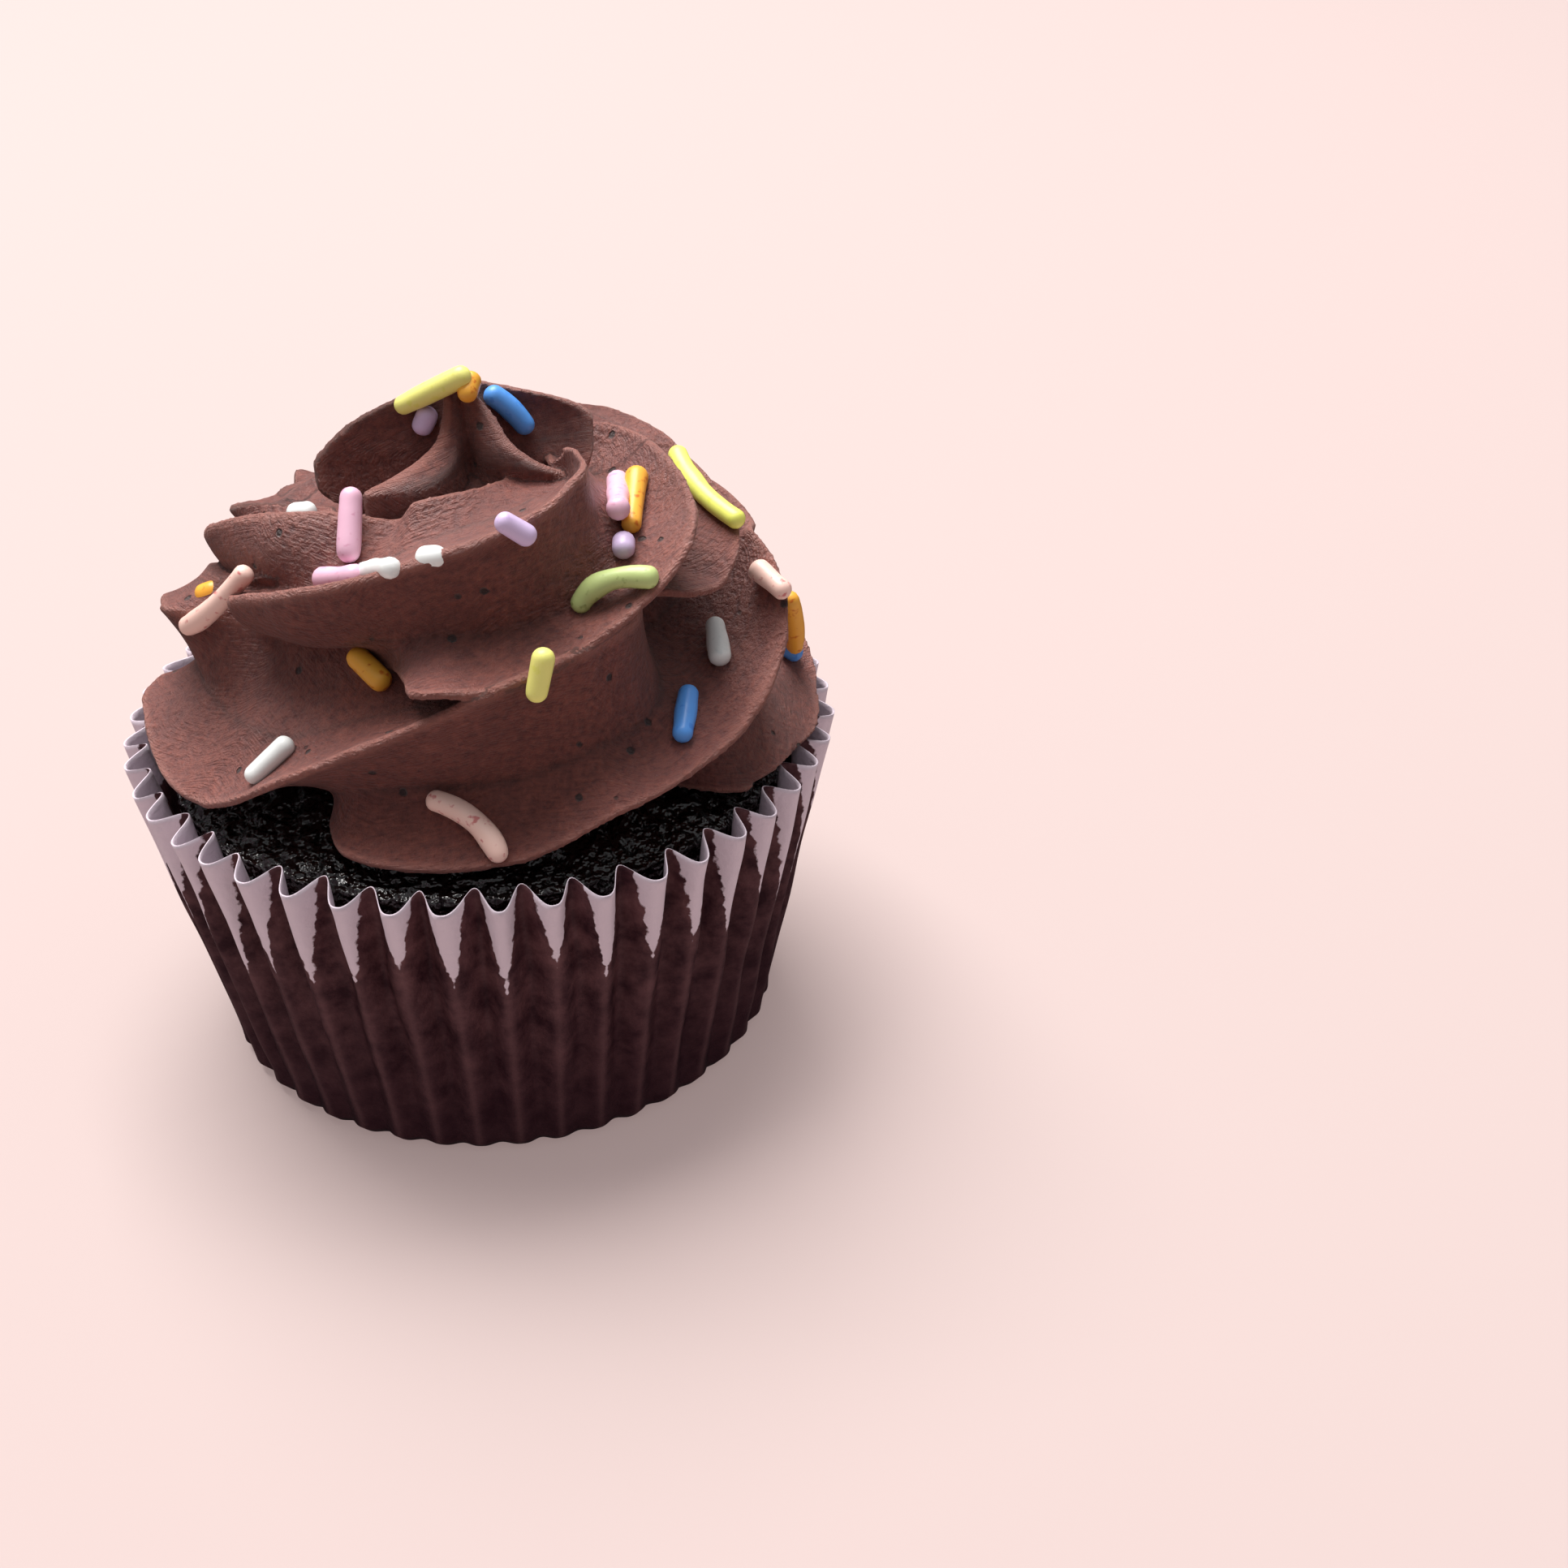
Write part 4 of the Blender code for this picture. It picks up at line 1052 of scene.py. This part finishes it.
# Each has a colour, how deep it is sunk, and marks along it: across and up in millimetres on the upright
# plane through the axis. They are carried along the lines of sight onto the frosting.
SHOWN_SPRINKLES = [
    ("yellow", SPRINKLE_SINK, (-5.1, 63.5), (1.1, 66.6)),
    ("orange", SPRINKLE_SINK, (1.6, 66.4), (0.9, 64.4)),
    ("blue", SPRINKLE_SINK, (3.0, 64.8), (4.7, 63.4), (6.2, 61.3)),
    ("lavender", SPRINKLE_SINK, (-2.5, 63.1), (-3.4, 61.3)),
    ("pink", SPRINKLE_SINK, (-10.3, 55.2), (-11.3, 48.6)),
    ("lavender", SPRINKLE_SINK, (3.1, 52.4), (5.7, 50.6)),
    ("pink", 1.1, (-14.4, 46.3), (-10.4, 46.7)),
    ("white", 1.6, (-10.6, 46.9), (-7.0, 47.6)),
    ("peach", SPRINKLE_SINK, (-27.4, 41.3), (-24.7, 43.2), (-20.8, 47.3)),
    ("orange", SPRINKLE_SINK, (-11.9, 38.3), (-9.4, 35.0)),
    ("white", SPRINKLE_SINK, (-23.6, 24.3), (-19.6, 28.2)),
    ("yellow", SPRINKLE_SINK, (6.2, 38.3), (5.1, 33.6)),
    ("peach", SPRINKLE_SINK, (-6.1, 21.6), (-2.1, 19.1), (0.2, 14.6)),
    ("green", SPRINKLE_SINK, (9.8, 43.4), (12.5, 46.1), (17.1, 46.4)),
    ("pink", SPRINKLE_SINK, (14.0, 56.9), (13.9, 53.0)),
    ("orange", SPRINKLE_SINK, (15.8, 57.3), (15.0, 51.6)),
    ("lavender", SPRINKLE_SINK, (14.3, 50.7), (14.2, 49.0)),
    ("lime", SPRINKLE_SINK, (19.4, 59.3), (21.3, 55.6), (25.1, 52.2)),
    ("white", SPRINKLE_SINK, (22.5, 41.8), (23.0, 37.6)),
    ("blue", SPRINKLE_SINK, (19.9, 34.3), (19.1, 29.0)),
    ("peach", SPRINKLE_SINK, (26.4, 47.6), (29.2, 44.9)),
    ("orange", SPRINKLE_SINK, (29.5, 44.6), (30.0, 41.4), (29.9, 38.1)),
    ("blue", SPRINKLE_SINK, (28.9, 39.3), (30.4, 38.2)),
    ("white", 1.75, (-16.0, 53.1), (-14.1, 53.2)),
    ("white", 1.8, (-4.6, 48.4), (-2.6, 48.7)),
    ("orange", 1.7, (-25.6, 44.6), (-23.8, 45.3)),
]
SUGAR_COLOURS = {
    "yellow": ("#f3f088", "#ecec70"),
    "lime": ("#eff276", "#e6ee60"),
    "orange": ("#f5b240", "#cf5e12"),
    "blue": ("#5ba0f2", "#3f86e4"),
    "lavender": ("#d6c0e4", "#c4aad6"),
    "pink": ("#ecbcd2", "#d993b2"),
    "peach": ("#f6cfc2", "#c9585c"),
    "green": ("#c0d188", "#8fa35c"),
    "white": ("#f2f5f3", "#e2e9e8"),
}


def rod_line(marks, share):
    """A smooth line through two or three marks, at shares of its length."""
    keys = np.array([tuple(mark) for mark in marks], float)
    if len(keys) == 2:
        keys = np.array([keys[0], keys.mean(axis=0), keys[1]])
    share = np.asarray(share, float)[:, None]
    bend = 2 * keys[1] - 0.5 * (keys[0] + keys[2])
    return keys[0] * (1 - share) ** 2 + bend * 2 * share * (1 - share) + keys[2] * share**2


def sight_points(skin_tree, sink, marks):
    """Three points of a sprinkle that is seen between marks on the axis plane: along the lines of
    sight it rests on the parts of the frosting that stand nearest to the eye. A line that misses
    the frosting just beyond its outline counts as far as the axis plane."""
    eye = np.array(CAMERA_PLACE)
    inset = SIGHT_INSET / np.linalg.norm(np.diff(marks, axis=0), axis=1).sum()
    shares = np.linspace(inset, 1 - inset, SIGHT_SAMPLES)
    seen = rod_line(marks, shares)
    lines = np.stack([seen[:, 0], 0 * shares, seen[:, 1]], axis=-1) - eye
    lines = lines / np.linalg.norm(lines, axis=1, keepdims=True)
    reach = []
    for line in lines:
        spot, normal, _, distance = skin_tree.ray_cast(Vector(eye) * MM, Vector(line))
        if spot is None:
            reach.append(-eye[1] / line[1])
            continue
        facing = max(-Vector(line).dot(normal), LEAST_FACING)
        reach.append(distance / MM - (SPRINKLE_RADIUS - sink) / facing)
    nearest = None
    for first, last in itertools.combinations(range(SIGHT_SAMPLES), 2):
        slope = (reach[last] - reach[first]) / (last - first)
        laid = reach[first] + slope * (np.arange(SIGHT_SAMPLES) - first)
        clear = np.all(laid <= np.array(reach) + SIGHT_OVERLAP)
        if clear and (nearest is None or laid.sum() > nearest.sum()):
            nearest = laid
    return [eye + lines[index] * nearest[index] for index in (0, SIGHT_SAMPLES // 2, SIGHT_SAMPLES - 1)]


def scattered_points(skin_tree, random):
    """Two ends of a sprinkle that lies at random on the back of the swirl, out of the camera's sight."""
    bearing = random.uniform(*HIDDEN_BEARINGS)
    height = random.uniform(*HIDDEN_HEIGHTS)
    lie = random.normal(size=3)
    outside = Vector(at_bearing(bearing, 2 * RIM_RADIUS, height + CASE_HEIGHT)) * MM
    aim = Vector(at_bearing(bearing, CORE_RADIUS, height)) * MM
    spot, normal, _, _ = skin_tree.ray_cast(outside, (aim - outside).normalized())
    if spot is None:
        return []
    lie = Vector(lie).cross(normal).normalized()
    middle = np.array(spot + normal * (SPRINKLE_RADIUS - SPRINKLE_SINK) * MM) / MM
    half_rod = np.array(lie) * (SPRINKLE_LENGTH / 2 - SPRINKLE_RADIUS)
    eye = Vector(CAMERA_PLACE) * MM
    for share in (-HIDDEN_SPAN, 0, HIDDEN_SPAN):
        start = Vector(middle + half_rod * share + np.array(normal) * SPRINKLE_RADIUS) * MM
        if skin_tree.ray_cast(start, (eye - start).normalized())[0] is None:
            return []
    return [middle - half_rod, middle + half_rod]


def rod_rings(points, seed):
    """Rings along a smooth line through two or three points: full in the middle, a quarter circle at
    each end, with slow swellings along it."""
    total = np.linalg.norm(np.diff(points, axis=0), axis=1).sum()
    turn = np.linspace(-math.pi / 2, math.pi / 2, SPRINKLE_RINGS)
    station = (total + 2 * SPRINKLE_RADIUS) * (np.sin(turn) * 0.5 + 0.5) - SPRINKLE_RADIUS
    share = np.clip(station / total, 0, 1)
    tangent = rod_line(points, share + LINE_STEP) - rod_line(points, share - LINE_STEP)
    tangent = tangent / np.linalg.norm(tangent, axis=1, keepdims=True)
    past = station - np.clip(station, 0, total)
    line = rod_line(points, share) + tangent * past[:, None]
    along = np.stack([station, 0 * station, 0 * station], axis=-1)
    pinch = 1 + PINCH * lumps(along, PINCH_LENGTH, seed)
    over = np.abs(past) / SPRINKLE_RADIUS
    reach = SPRINKLE_RADIUS * np.sqrt(np.clip(1 - over**END_POWER, LEAST_END, 1)) * pinch
    side = np.cross(tangent, ASIDE)
    side = side / np.linalg.norm(side, axis=1, keepdims=True)
    up = np.cross(tangent, side)
    angle = np.arange(SPRINKLE_SIDES) * 2 * math.pi / SPRINKLE_SIDES
    ring = side[:, None] * np.cos(angle)[:, None] + up[:, None] * np.sin(angle)[:, None]
    return line[:, None] + ring * reach[:, None, None]


def sugar_paste(name, body, speck):
    """Matt sugar paste with a thin glaze. Specks of burst colour, about 0.3 mm, where it is handled."""
    material, shader = new_material(name)
    spot_place = add_node(material, "ShaderNodeTexCoord", {})
    specks = noise(material, spot_place, 0.8, 2.0)
    speck_share = add_node(
        material,
        "ShaderNodeMapRange",
        {"Value": specks.outputs["Fac"], "From Min": 0.6, "From Max": 0.7, "To Max": 0.8},
    )
    colour = mix(material, speck_share.outputs["Result"], linear(body), linear(speck))
    dimple = add_node(
        material, "ShaderNodeBump", {"Height": specks.outputs["Fac"], "Strength": 0.2, "Distance": 0.1 * MM}
    )
    material.node_tree.links.new(colour, shader.inputs["Base Color"])
    material.node_tree.links.new(dimple.outputs["Normal"], shader.inputs["Normal"])
    shader.inputs["Roughness"].default_value = 0.38
    return material


skin_tree = BVHTree.FromObject(swirl, bpy.context.evaluated_depsgraph_get())
random = np.random.default_rng(SPRINKLE_SEED)
colour_names = list(SUGAR_COLOURS)
laid = [(colour, sight_points(skin_tree, sink, marks)) for colour, sink, *marks in SHOWN_SPRINKLES]
for index in range(HIDDEN_SPRINKLES):
    laid.append((colour_names[index % len(colour_names)], scattered_points(skin_tree, random)))
rod_faces = ring_faces(SPRINKLE_RINGS, SPRINKLE_SIDES)
for colour, (body, speck) in SUGAR_COLOURS.items():
    points = []
    faces = []
    for seed, (laid_colour, rod_points) in enumerate(laid):
        if laid_colour != colour or len(rod_points) < 2:
            continue
        rings = rod_rings(rod_points, seed)
        start = sum(len(part) for part in points)
        points.append(with_ends(rings))
        faces += [tuple(start + corner for corner in face) for face in rod_faces]
    paste = sugar_paste(f"{colour}_sugar_paste", body, speck)
    rods = surface(f"sprinkles_{colour}", np.vstack(points), faces, paste)
    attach(rods, "root")
    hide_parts("frosting")
